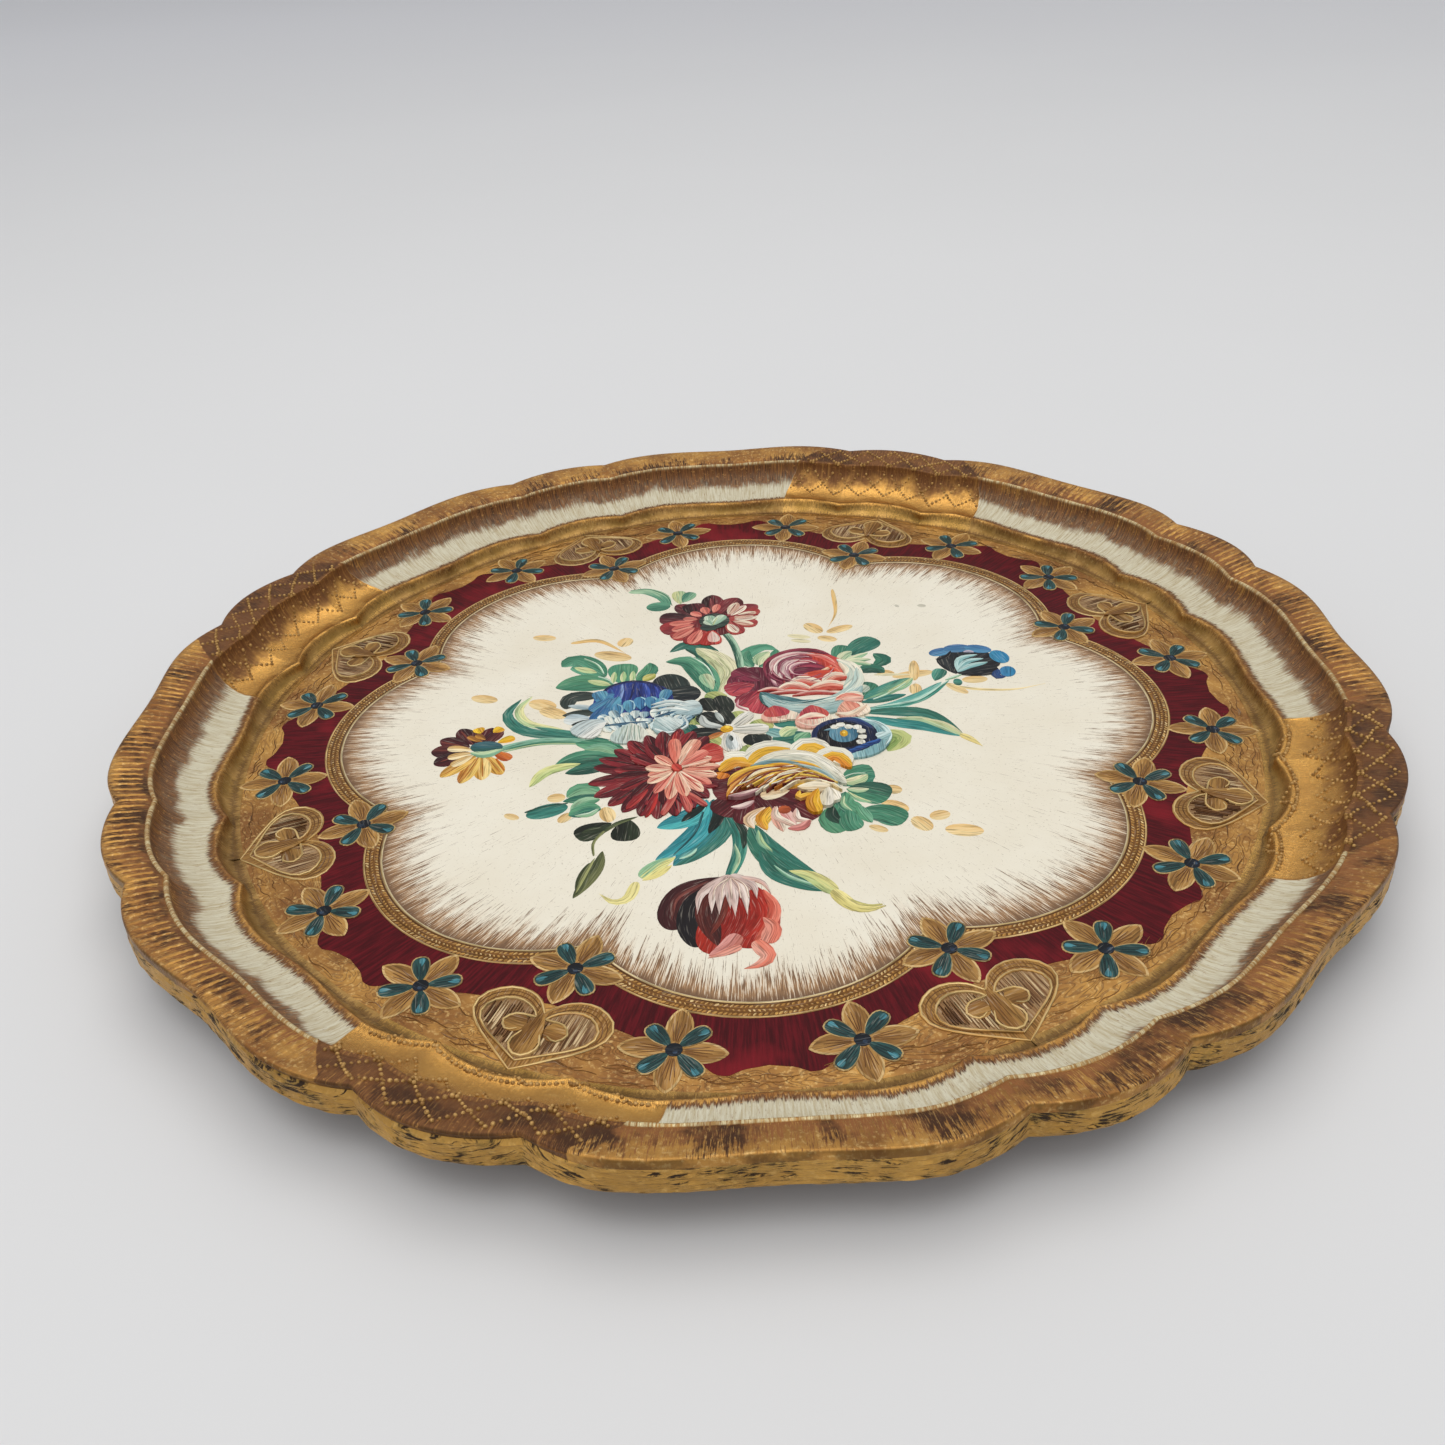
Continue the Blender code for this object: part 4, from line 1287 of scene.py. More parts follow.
def left_leaves(paint):
    draw = paint.stroke
    draw("leaf", 7, FERN, MOSS, (-54, -10), (-46, -12), (-38, -16))
    draw("leaf", 8.4, JADE, "2c5c4c", (-60, -23.6), (-51, -18.4), (-39, -20))
    draw("leaf", 6, IVY, "264f42", (-56, -26.4), (-49, -24.4), (-40, -22))
    draw("leaf", 5, "6fa486", SAGE, (-51, -13.6), (-45, -13), (-39, -17.4))
    draw("leaf", 4.4, "d3d38e", "b3c27e", (-66.4, -32.6), (-61.6, -24.6), (-51.6, -21.6))
    draw("leaf", 7.5, MOSS, SAGE, (-54.6, -39), (-50, -35.6), (-44.6, -38))
    draw("leaf", 4, PINE, FERN, (-55.6, -41), (-50, -40), (-45, -39))
    draw("blob", 6.8, "2f7266", "3c8274", (-66, -47.4), (-54, -43.4))
    draw("line", 0.9, "1d3a30", PINE, (-66.6, -45.6), (-62, -43.6), (-54, -42))
    draw("leaf", 5, "9cc29c", MOSS, (-53, -46), (-49, -42), (-44.6, -41))
    draw("leaf", 6.8, MOSS, SPRUCE, (-53.4, -48.4), (-48, -45.6), (-44, -46))
    draw("leaf", 2, "c5dcc0", SAGE, (-51.6, -48.6), (-47.4, -48.4), (-44.6, -45.6))
    draw("petal", 8, "2b3524", "1a2018", (-40.6, -53), (-50.6, -59))
    draw("petal", 8.6, "2b3524", "1a2018", (-36, -51.4), (-36.6, -62))
    draw("leaf", 3, "39442c", "2b3524", (-49, -57), (-43, -55.4))
    draw("leaf", 1.7, "5f6642", "39442c", (-33, -50.6), (-39, -53.4), (-44, -58.6))
    draw("line", 0.9, "8b8f5c", "6b7048", (-42.6, -56.6), (-45.4, -62), (-45, -68))
    draw("leaf", 4.2, "6d7148", "444b2e", (-42.6, -66), (-44, -74), (-49.6, -86))
    draw("leaf", 3.2, "4d5434", "3a4228", (-46, -71), (-47.6, -78), (-48.6, -84.6))
    draw("leaf", 1.4, "9a9c66", "6d7148", (-44.6, -69), (-47, -76), (-49, -84))


def red_dahlia(paint):
    draw = paint.stroke
    paint.shape(circle_outline(-26, -28, 15, 16), (-26, -28), "661a22", "5a1519")
    dark = (("6d1c25", "471018"), ("7d2229", "55141b"), ("5c1820", "842a2e"), ("8c272b", "5c1820"))
    tips = ((-47.4, -24), (-46, -19.6), (-41.4, -15), (-37, -11), (-31.4, -8.4), (-26.4, -6.8), (-20.8, -5.8))
    tips += ((-16.4, -8), (-12, -11.4), (-48.6, -32.8), (-46.4, -39.8), (-42, -44.6), (-37.6, -48.2))
    tips += ((-32.4, -50.6), (-27.4, -52.4), (-22, -51.6), (-16.8, -48.4), (-12.4, -43.4), (-9.4, -38))
    fan(paint, (-25, -28), tips, 5.6, dark, 0.2, "ray", "2e0a10")
    short = ((-41, -26), (-41, -31), (-39, -37), (-35, -42), (-31, -45.4), (-25, -46), (-36, -19), (-31, -14))
    fan(paint, (-25, -28), short, 5, (("8f2a2e", "5a1820"), ("7a2026", "3e0f15")), 0.25, "ray", "34090f")
    hot = (("b03a36", "8a2428"), ("b5302c", "7d2026"))
    fan(paint, (-24, -28), ((-36.6, -47), (-30.8, -51.4), (-17.4, -49), (-21.6, -7.6)), 2.8, hot, 0.5, "ray")
    fan(paint, (-18, -24), ((-8.4, -17.2), (-7.6, -21)), 7, (("b5352f", "c8584a"),), 0.3)
    for tip in ((-13, -47.6), (-26, -51), (-18, -50.2)):
        draw("petal", 2.4, "c8695c", "a03c38", (-21, -38), tip)
    pink = (("e2907c", "c86456"), ("ecbfa2", "d8846e"), ("efd0b2", "e0a088"))
    ring = ((-28.4, -40), (-24, -43.6), (-14, -40.6), (-11.4, -37), (-19, -42.6), (-30.6, -34.6))
    fan(paint, (-22, -28), ring, 3.9, pink, 0.12, "ray", "b0483e")
    ring = ((-30.6, -30.8), (-31.4, -26.6), (-28.4, -20.6), (-9.6, -32.6), (-8.6, -27.6), (-11, -23.2))
    fan(paint, (-22, -28), ring, 4.2, pink[1:], 0.14, "ray", "b0483e")
    fan(paint, (-22, -28), ((-12.4, -19.6), (-15.4, -13)), 4.8, pink[:2], 0.14)
    draw("petal", 4.2, "cf6a58", "e08c76", (-22.2, -26), (-22.6, -12))
    for tip in ((-17.6, -40), (-14.4, -36.6), (-25.4, -38.4), (-17, -16.4), (-12.4, -25.6)):
        draw("line", 0.7, "f2dcc2", "e8b89e", (-21.6, -28.4), tip)
    draw("blob", 3, "b8382f", "cf5244", (-22.8, -26), (-20.8, -29.6))


def centre_leaves(paint):
    """The greens behind the flowers in the middle."""
    draw = paint.stroke
    greens = ((8, (-14, -10), (-9, -16)), (8, (0, -16), (3, -24)), (8, (3, -2), (7, -9)))
    greens += ((7, (-12, 16), (-6, 10)), (6, (-17, 2), (-12, -2)), (6, (-16, -3), (-18, 6)))
    greens += ((6, (-3, 4), (-1, -2)),)
    for width, *path in greens:
        draw("blob", width, "b0b470", "8a9c5a", *path)
    draw("blob", 7, "2f6f62", "3a7d6e", (9, -5), (19, -3))
    draw("blob", 8, "2f6f62", PINE, (8, -14), (20, -13))
    draw("leaf", 5, "5d9a9a", "8fb8b0", (6, -8), (12, -12))
    draw("leaf", 5.4, "cfd6a2", "94b486", (11, -12.6), (14, -9), (16.4, -8.6))
    draw("leaf", 5, SAGE, MOSS, (15, -16), (20, -11))
    draw("blob", 7, "2a5e5a", IVY, (-20, -3), (-17, -8))


def white_and_black_flower(paint):
    draw = paint.stroke
    black = ((6.6, (-13.4, 13), (-10, 5)), (7, (-8, 14), (-5.4, 3)), (5.6, (-7.6, 5), (-4.6, -3.5)))
    for width, *path in black:
        draw("blob", width, "2c332c", "1b211d", *path)
    draw("petal", 7.6, "2a312b", "1c221f", (-6.4, -5), (-14.6, 3))
    draw("petal", 6.2, "222a26", "1a1f1d", (-7, -7.6), (-17.6, -8))
    draw("leaf", 3.4, "aab0aa", "d0d4cc", (-7, -5.4), (-12.6, -3), (-14, 2.4))
    draw("leaf", 2.2, "8d9690", "c4cac2", (-7, -3), (-9.4, 4))
    draw("blob", 6.4, "28302c", "1c2422", (1.6, -10), (2.4, -16.6))
    draw("blob", 6, "28302c", "1c2422", (4, -10.6), (6, -16))
    for width, tip in ((4.8, (2.2, 2.4)), (6, (7.4, -7.6)), (6.6, (-4.2, -19.6))):
        draw("petal", width, "e6e2d6", "cfcabc", (-5.4, -7.2), tip)
    draw("petal", 4, "dfe3de", "9fa8a6", (-5.4, -9.6), (-4.2, -18.6))
    draw("leaf", 1.5, "2a312b", "5d6662", (-5, -10.6), (-4.6, -14))
    for start, tip in (((-3, -6.4), (5.6, -6)), ((-3.4, -7.8), (6, -8.8)), ((-3.6, -4.8), (1, 0.8))):
        draw("line", 0.5, "8d8f84", "b5b5a8", start, tip)
    draw("leaf", 2.6, "c98a4a", "a8602c", (-7, -8), (-13, -12))
    draw("blob", 4.2, "eab92c", "d09a20", (-7.6, -5.4), (-4.4, -8))
    draw("blob", 1.6, "f4d65c", "eab92c", (-6.6, -5.6), (-5, -6))


def big_rose(paint):
    draw = paint.stroke
    paint.shape(circle_outline(4, 20.5, 9.4, 11), (4, 20.5), PLUM, "571a2b")
    draw("petal", 8, "7d2c40", "571a2b", (6, 22), (-2.4, 30.4))
    draw("petal", 9, "ba474e", "93303e", (4, 20), (-5.8, 16.4))
    draw("petal", 9.4, ROSE, "8a2a3a", (6, 16), (-0.6, 6.6))
    draw("petal", 8.6, "93303e", ROSE, (8, 12), (4.6, 1.6))
    for start, bend, tip in (((2, 26), (-2.6, 25), (-3.6, 21)), ((4, 18), (0, 18.6), (-3.6, 15))):
        draw("line", 0.6, "8f3a4e", "4c1626", start, bend, tip)
    draw("leaf", 1, "e2aeb0", "c8848a", (-1.6, 11), (-2.2, 7), (1.4, 3.6))
    paint.shape(circle_outline(20.6, 28, 13.2, 13), (20.6, 28), PLUM, "c23f30")
    draw("leaf", 3.2, "8d3446", "5a1a2c", (8.4, 24), (9, 34), (16.6, 40.4), (26, 40.2), (33, 33.6))
    draw("leaf", 2.6, "e4c8be", "b26c74", (10, 26), (11.4, 34.6), (18.4, 39), (27, 37.4))
    draw("leaf", 4.4, "c23f3a", "dc6f5e", (23.6, 38), (30, 34.6), (34, 28), (33.4, 21))
    draw("leaf", 2.2, "e39a8c", "c8524a", (22.4, 38), (28, 35.8), (32, 31))
    draw("leaf", 3.6, "e3cfc4", "ad7f84", (13.4, 22.6), (12.4, 30), (16.6, 36.4), (23.6, 36.2))
    draw("leaf", 1.4, "7b3145", "9c5866", (12, 25), (13.6, 33.4), (19, 37), (24, 36.6))
    draw("leaf", 2.8, "dfc4bc", "a7707c", (16.4, 21.6), (14.6, 27), (17, 33), (22.6, 34.2))
    draw("leaf", 2.2, "9a3a4a", "b85a62", (17.6, 31.4), (21.6, 34), (27, 31.6))
    draw("leaf", 2.2, "e0bfb8", "8c4a5c", (17.6, 25), (17, 29.4), (20, 32), (24, 31.6))
    draw("blob", 7, "5c1a2e", "7a2840", (17.4, 26.6), (28, 27.2))
    draw("leaf", 3, "7a2840", "9c3a4c", (19.6, 29.8), (23.6, 30.6), (28.4, 28))
    draw("leaf", 1.8, "efd0a8", "e0a888", (23.6, 24.2), (27.4, 26), (30.6, 29.2))
    draw("blob", 7, "cc4a34", "b5392e", (19.4, 22), (32, 24))
    draw("leaf", 2, "dc6a52", "cc4a34", (29, 29), (32, 26), (32.6, 21))
    draw("leaf", 1.6, "dcb8b4", "a26a76", (9.4, 24), (11.6, 18.6), (17, 15.4))
    for x, y in ((8.6, 27), (11.2, 21)):
        draw("leaf", 1.2, "96485a", PLUM, (x, y), (x + 1.6, y - 4), (x + 5, y - 7))
    rows = ((4.2, (15.4, 18.4), (20, 21.4), (27, 17.6)), (4.2, (26.4, 18), (30.6, 22.6), (35.4, 21.8)))
    rows += ((3.8, (11, 14.6), (16.6, 18.2), (23, 14.2)), (4, (21.6, 14.6), (28.6, 17.6), (35, 15)))
    for place, (width, *path) in enumerate(rows):
        draw("leaf", width + 1.6, "b5392e", "c2503e", *[(x, y - 1.4) for x, y in path])
        draw("leaf", width, "ecdcc4", "dc8a74" if place % 2 else "d4786a", *path)
        draw("line", 0.5, "c8695c", "e0a088", *[(x, y - 0.6) for x, y in path])
    for turn in range(9):
        angle, reach = 0.5 + turn * 0.55, 5 + turn % 3 * 2.3
        turns = [angle + step for step in (0, 0.6, 1.2)]
        swirl = [(20.6 + 1.12 * reach * math.cos(t), 29 + reach * math.sin(t)) for t in turns]
        draw("line", 0.55, ("f0dcd0", "7a2c40", "d8a8a0")[turn % 3], "a86070", *swirl)
    for y, left, right in ((12.4, 7, 24), (11, 16, 32), (14.6, 4.6, 14)):
        draw("leaf", 2.2, "e2bdae", "b0443e", (left, y), ((left + right) / 2, y + 1.4), (right, y - 0.4))
    draw("leaf", 5.4, "e9e2cc", "c4d0c0", (32.6, 33), (37, 27.6), (37.4, 20), (33, 13))
    draw("leaf", 4.4, "dfe2cf", "b4c8be", (38.8, 26.6), (38.4, 18), (33.6, 10.6), (25, 6))
    draw("leaf", 2.4, "efe6cc", "d4b8a0", (33, 31), (35, 26), (34.6, 22))
    draw("leaf", 8.6, "4a7478", "35605f", (5.6, 14), (10, 8), (18, 4.6), (24, 7))
    draw("leaf", 7.6, "b9cdc6", "93b2ae", (6, 12), (12, 3.8), (24, 1.8), (34, 6.6), (39.4, 14.6))
    draw("leaf", 3, "d5ddcf", "b4c8be", (12, 6), (20, 4), (30, 7.4), (37, 14))
    draw("leaf", 2.2, "5d8a8c", "86aaa8", (7, 12), (12.4, 7), (20, 5.2))
    for shift in (0, 1.8, 3.4):
        path = ((9 + shift, 9 - shift * 0.4), (18, 4 + shift * 0.6), (31, 5.6 + shift))
        draw("line", 0.45, "dfe6da", "6f9494", *path)
    lower = ((10, (9.6, 5), (10.4, -4.4)), (9, (14.6, 1.6), (13.6, -3.6)), (12.6, (22, 3), (22, -9.6)))
    lower += ((11, (33, 6), (36, -4)), (6.6, (30, 8), (39, 7.6)))
    for width, foot, tip in lower:
        draw("petal", width, "e8d8c0", "dba592", foot, tip)
    draw("petal", 8.6, ROSE, "c0504a", (9.6, 5), (10.6, -1.8))
    draw("petal", 9.6, "c4524a", ROSE, (21.6, 4), (22.4, -4.6))
    draw("leaf", 3, "efdcc4", "e0b49c", (16.8, -4), (21.6, -2), (26, -3.4))
    draw("petal", 7, "d8846e", "e2a68c", (32.6, 5), (34.6, -0.4))
    draw("leaf", 2.6, "f0e2c8", "e4c4a8", (29, -1.6), (34, -2.6), (39.6, 2.6))
    draw("leaf", 3, "dc7c68", "ecb8a0", (29.6, 6), (34, 8.6), (38.6, 7.6))
    draw("leaf", 1.3, "f0e2c8", "d4a090", (16, -5), (21, -8.6), (27.4, -5.6))


def rose_leaves(paint):
    draw = paint.stroke
    draw("petal", 6.4, JADE, "37745c", (32.4, 31), (35.6, 43.4))
    draw("petal", 9.6, "3f7a66", SPRUCE, (36.4, 35.6), (41, 41), (47.6, 46.6))
    draw("leaf", 5.6, "37745c", PINE, (44.6, 27.6), (48.6, 31.6), (45.6, 36.4))
    draw("leaf", 6.2, IVY, "264f42", (38.6, 24.6), (44, 26.4), (47.8, 23))
    draw("leaf", 4.4, "d3d6b0", "a4c09a", (33.2, 32), (36, 36.6), (38.4, 38.6))
    for tip in ((43.8, 37), (44.2, 32.4), (44, 28.6)):
        draw("leaf", 3, "d6d8b4", SAGE, (34.6, 31.6), (39, 32.2 + (tip[1] - 32) * 0.4), tip)
    draw("blob", 8.4, PINE, FERN, (38.6, 9.4), (42.6, 17.4))
    draw("blob", 5, "d4d2c0", "b9c8b4", (37.6, 11.6), (41, 15.6))
    draw("leaf", 2.2, "1f3a30", PINE, (35.6, 9.4), (40, 8), (44.6, 12))
    draw("leaf", 6.4, "3f8272", SAGE, (38.8, 7), (46, 11.4), (55.6, 18.6), lean=0.3)
    draw("leaf", 3, "c6cf98", SAGE, (47, 10), (53, 14), (56.6, 18.6))
    draw("leaf", 4, "2b7a74", PINE, (38, 5), (45, 6.4), (53, 8.4))
    draw("line", 0.8, MIST, SAGE, (42, 6.4), (48, 10), (54, 15.6))
    draw("leaf", 5, "5aa094", "8cc0b0", (38.4, 0.6), (48, 2), (58, 7.4), (65.6, 15))
    draw("leaf", 6, PINE, "3a7668", (37.4, -1), (48, -1.6), (58, -4.4), (67.4, -17.4))
    draw("leaf", 5, "2b7a74", "3c8a84", (38, -3.6), (47, -8), (57, -11.6), (66.6, -17.8))
    draw("leaf", 3, "c9d0a4", "a4bf94", (48, -5.6), (57, -7.6), (66.4, -17.4))
    draw("leaf", 2.4, "d8d2a8", "c0c894", (56, -6.6), (62.4, -10.6), (67.6, -18))
    draw("comma", 2.6, "e0cf8a", "d8c47c", (66.4, -16.8), (69, -19.6), (72, -24))


def anemone(paint):
    draw = paint.stroke
    draw("leaf", 7, "b9c07a", "8ba55c", (42.4, -12.6), (48, -16.6), (43, -24))
    draw("line", 0.6, "6f8a48", "8ba55c", (44, -15.6), (46.6, -18), (43.6, -22))
    paint.shape(circle_outline(32.6, -16, 12.2, 11.6), (32.6, -16), "9cc0c0", "7fabb0")
    draw("leaf", 2.6, "c4d8d4", "8fb4b4", (36, -5.6), (42, -9.6), (44.2, -16), (42.2, -22))
    paint.shape(circle_outline(30.6, -14.8, 10.4, 10), (30.6, -14.8), "1a2a50", "16203c")
    draw("leaf", 2.6, "274072", "1c2c52", (28, -5.4), (34.6, -6.4), (40, -12))
    for place in range(5):
        x, y = 31 + place * 1.9, -25 + place * 1.1
        draw("leaf", 2, "2f5a9c", "1c3468", (x - 2, y + 0.4), (x + 1, y + 0.8), (x + 3, y + 2.6))
    draw("petal", 4.6, "8fb4b4", "c4d8d4", (45, -15), (40.6, -17.4))
    paint.shape(circle_outline(29.8, -14.6, 7.8, 7.4), (29.8, -14.6), "14141c", "0e1016")
    paint.shape(circle_outline(30.4, -14, 4.6, 4.9), (30.4, -14), "5f8ea0", "3f6f86")
    draw("leaf", 1.2, "8fb4c0", "5f8ea0", (24.4, -11.6), (27.6, -11), (30, -11.4))
    for x, y in ((28, -10), (30, -9), (32.4, -10.4), (35, -11), (36, -13.4), (36, -16.4), (35.2, -19.2)):
        for turn in range(3):
            dx, dy = 1.5 * math.cos(turn * 2.1 + x), 1.3 * math.sin(turn * 2.1 + x)
            draw("blob", 2, "efece0", "cfcdbc", (x - dx, y - dy), (x + dx, y + dy), split=0.3)
    draw("blob", 2.6, "e0b030", "c08c20", (30.6, -12), (30.4, -15.8))
    draw("blob", 1, "f4d870", "e0b030", (30.2, -13), (30.6, -14))


def blue_bell_flower(paint):
    """The dark blue flower at the far right, seen from its side, on a long stem."""
    draw = paint.stroke
    draw("leaf", 2.6, "bfe0cc", "3f8a78", (41, 1.4), (54, 3.4), (61, 8), (68.4, 16))
    draw("line", 0.7, "2b6a5c", "3f8a78", (50, 1.6), (58, 5), (67, 14))
    ink = (("202428", "14161c"), ("2b2f30", "1a1c22"))
    tips = ((68.6, 32), (71, 35), (75, 37), (80, 36), (84.6, 32), (86.6, 27), (85.6, 21.6))
    fan(paint, (71.4, 19), tips, 7, ink, 0.05)
    rim = ((8.4, (64.4, 33.4), (72, 36)), (9, (69.6, 36.4), (79, 36.6)), (8.6, (77, 37), (85.6, 33.6)))
    for place, (width, *path) in enumerate(rim):
        draw("blob", width * 0.62, "3f6f9c", ("5a92b4", "47789c", "4f8bb0")[place], *path)
    draw("blob", 6.2, "2f7fa8", "3f8fb4", (86.4, 33.6), (88.6, 25))
    draw("blob", 5.4, "2f7fa8", "3a7aa4", (89, 22.6), (87.6, 16))
    draw("leaf", 3, "2a4a7c", "1f3a68", (85.6, 21), (84, 16.6), (87, 16))
    draw("leaf", 1.4, "1a1c22", "14161c", (66, 30), (69.6, 31), (72, 35))
    for tip, bend in (((80.4, 31.6), (74, 29)), ((82, 28.6), (76, 27)), ((83, 26), (76.6, 24))):
        draw("leaf", 2.7, "b4d2cc", "7fb0b0", (72, 20.6), bend, tip)
    draw("leaf", 1.6, "c9b8c0", "8a8a9c", (76, 33.6), (78, 34), (79.6, 33))
    draw("petal", 5, "4b8a78", PINE, (63.6, 16), (67, 23.6))
    draw("blob", 4.4, "3f8272", SPRUCE, (69.4, 14.4), (72.4, 14.4))
    draw("leaf", 1.4, MIST, SAGE, (67, 16), (69.6, 17.4), (73, 19))


def yellow_rose(paint):
    draw = paint.stroke
    wine = (("5e1e24", "4a161c"), ("6e262a", "571c22"))
    paint.shape(circle_outline(3, -39, 13.5, 13), (3, -39), "642026", "521a1f")
    fan(paint, (2, -38), ((-9.6, -52), (-1.4, -57.6), (8, -52), (18.6, -56)), 10, wine, 0.2)
    fan(paint, (2, -38), ((-11.6, -31), (-11, -41), (15, -47)), 9, wine, 0.2)
    draw("petal", 5, "d8862c", "c06c20", (-9, -34), (-7.6, -30.6))
    crown = ((9, (-9, -28.6), (-4, -24), (2, -26.4)), (9.4, (0, -25), (6, -19.6), (15, -21)))
    crown += ((8.4, (14.6, -25), (19, -19), (25, -24)), (8, (21, -29), (26.4, -24.6), (30.6, -31)))
    for place, (width, *path) in enumerate(crown):
        draw("blob", width, "e6e2d0", "e6dcc0", *path)
        low = [(x + 0.2, y - 1.5) for x, y in path]
        draw("blob", width * 0.6, "e2ae34", ("c8862a", "d9a52c", "e0b040", "d8862c")[place], *low)
    draw("leaf", 8, "ddd6c0", "c0c4b2", (1, -29.6), (10, -25), (20, -28.6), (28.6, -41))
    draw("leaf", 2.4, "efeada", "d3cfba", (12, -23.6), (20, -26.4), (27.6, -37))
    draw("leaf", 1.6, "e2ae34", "c8862a", (10, -27), (19, -30.4), (25.6, -40))
    draw("leaf", 2.6, "8aa4a2", "5f8488", (0.6, -29.2), (7, -27.6), (15.4, -29))
    draw("leaf", 1.6, "aebfb8", "7f9c9c", (14, -29), (22, -34), (26.6, -42.6))
    gold = (("d9a02c", "b5702a"), ("e6bc48", "c98a2c"), ("c9882c", "8f4a26"))
    curves = (((-6, -43), (-3, -35), (8, -29.6), (15, -30.6)), ((-6.6, -39), (-4, -34), (2, -30.6), (8, -30)))
    curves += (((-1, -41), (4, -34.6), (12, -32), (20, -34)), ((2, -42), (8, -37), (14, -35.6), (21, -38)))
    curves += (((8, -41), (14, -39.6), (20, -40.6)), ((-7, -44.6), (-4, -39), (0, -35)))
    for place, path in enumerate(curves):
        draw("leaf", 3, *gold[place % 3], *path)
    light = (((-3, -38), (3, -32.6), (11, -30.4)), ((0, -39), (6, -34), (16, -33)))
    light += (((5, -40), (11, -36.4), (19, -36.6)), ((14, -33), (20, -35), (25, -39.6)))
    light += (((16, -36), (22, -38), (27, -44)), ((12, -39), (17, -37.6), (22, -40)))
    for path in light:
        draw("leaf", 1.6, "efe6c8", "dcc490", *path)
    draw("petal", 5, "ecdcbc", "d8bc94", (11.6, -42), (3, -44.4))
    draw("petal", 5.6, "efe2c6", "dcc49c", (14, -41.6), (23.6, -42))
    tones = ("8a4a2a", "f0e4c4", "6e2c24", "e6be50", "d8d2bc", "b5702a")
    for place in range(22):
        share = place / 21
        start = (-6.6 + 17 * share, -41.6 + paint.picks.uniform(-2, 3))
        bend = (1 + 17 * share, -33 - 3 * share + paint.picks.uniform(-2, 2))
        end = (13 + 13 * share, -30.6 - 11 * share + paint.picks.uniform(-1, 1))
        draw("line", 0.6, tones[place % 6], tones[place % 6], start, bend, end)
    draw("leaf", 2.2, "dcc0b4", "a8787a", (-6.6, -44.6), (-2, -44), (3, -41.6))
    draw("leaf", 2.6, "e0cabf", "b48c8a", (-6, -48.6), (-2.6, -48.6), (1, -46))
    for tip in ((24.6, -49.4), (21.6, -51.6)):
        draw("petal", 4.6, "ece4d2", "cfc4a8", (23, -42.6), tip)
    draw("petal", 4.6, "e3ae2e", "c8861f", (20, -43), (18, -49), (19, -54.6))
    draw("leaf", 2, "e9bc44", "d9a02c", (14.6, -43.6), (14, -46.6), (18, -45))
    draw("petal", 5.6, "e6bb4a", "d9c8a0", (5.6, -50), (1, -58))
    pairs = (("ead8c0", "d8b48c"), ("e3ae3a", "c8861f"), ("e6d2bc", "d8a08c"), ("dcb4a8", "c8847c"))
    for place, tip in enumerate(((0.4, -59.6), (4, -60.6), (8.6, -61.6), (12, -59.6))):
        draw("leaf", 3.6, *pairs[place], (4 + place * 1.4, -49.6), (tip[0] - 1.4, -55), tip)
    draw("blob", 4, "b5562c", "93401f", (7.6, -52), (11.4, -51))
    draw("leaf", 2.6, "f0e2cc", "d8b4a0", (7.4, -49.6), (7, -54.6), (12.6, -59.6))
    draw("leaf", 2.4, "e9dccc", "cfa898", (13, -51), (13, -56), (17, -57.4))
    draw("leaf", 3, "d8948a", "c06f68", (10, -60.4), (14, -60), (16.6, -57))


def right_leaves(paint):
    draw = paint.stroke
    draw("petal", 10.4, JADE, "3a7a62", (27.6, -41), (34, -35.4), (37.6, -34.6))
    draw("leaf", 4.4, "ddd6ac", "b9cd9c", (27.4, -39), (32, -38.6), (35.4, -35.8))
    draw("line", 0.7, MIST, SAGE, (26.6, -37.6), (31, -35), (35, -35))
    draw("petal", 11, "2f5a4a", FERN, (28.4, -42.6), (34, -44), (40.6, -47.6))
    draw("leaf", 2.6, "d6d8b0", "a4bf94", (28.6, -42.4), (32, -43.6), (35, -43.2))
    draw("leaf", 2, "c6cf9c", SAGE, (28.6, -44), (31, -47.6), (35, -50))
    draw("petal", 8, MOSS, IVY, (28, -44), (27, -50), (30.4, -55))
    draw("leaf", 1.6, "bcd0a4", SAGE, (27.4, -46), (26.6, -50), (29, -54))
    draw("petal", 9, FERN, MOSS, (24.6, -50), (23, -57), (26.4, -62.6))
    draw("leaf", 4, "1f3a30", "2c4a3c", (23.4, -50.6), (23, -55.6), (25.6, -59.6))
    draw("petal", 7, JADE, FERN, (28, -53), (28, -59), (29.4, -62.6))
    draw("petal", 9.4, FERN, JADE, (31, -54), (37, -55), (43.6, -59.6))
    draw("line", 0.6, "1f3a30", PINE, (31, -56), (36, -59), (41, -61.6))
    draw("leaf", 4, "6aa080", MOSS, (31, -51), (32, -55), (34, -59.6))


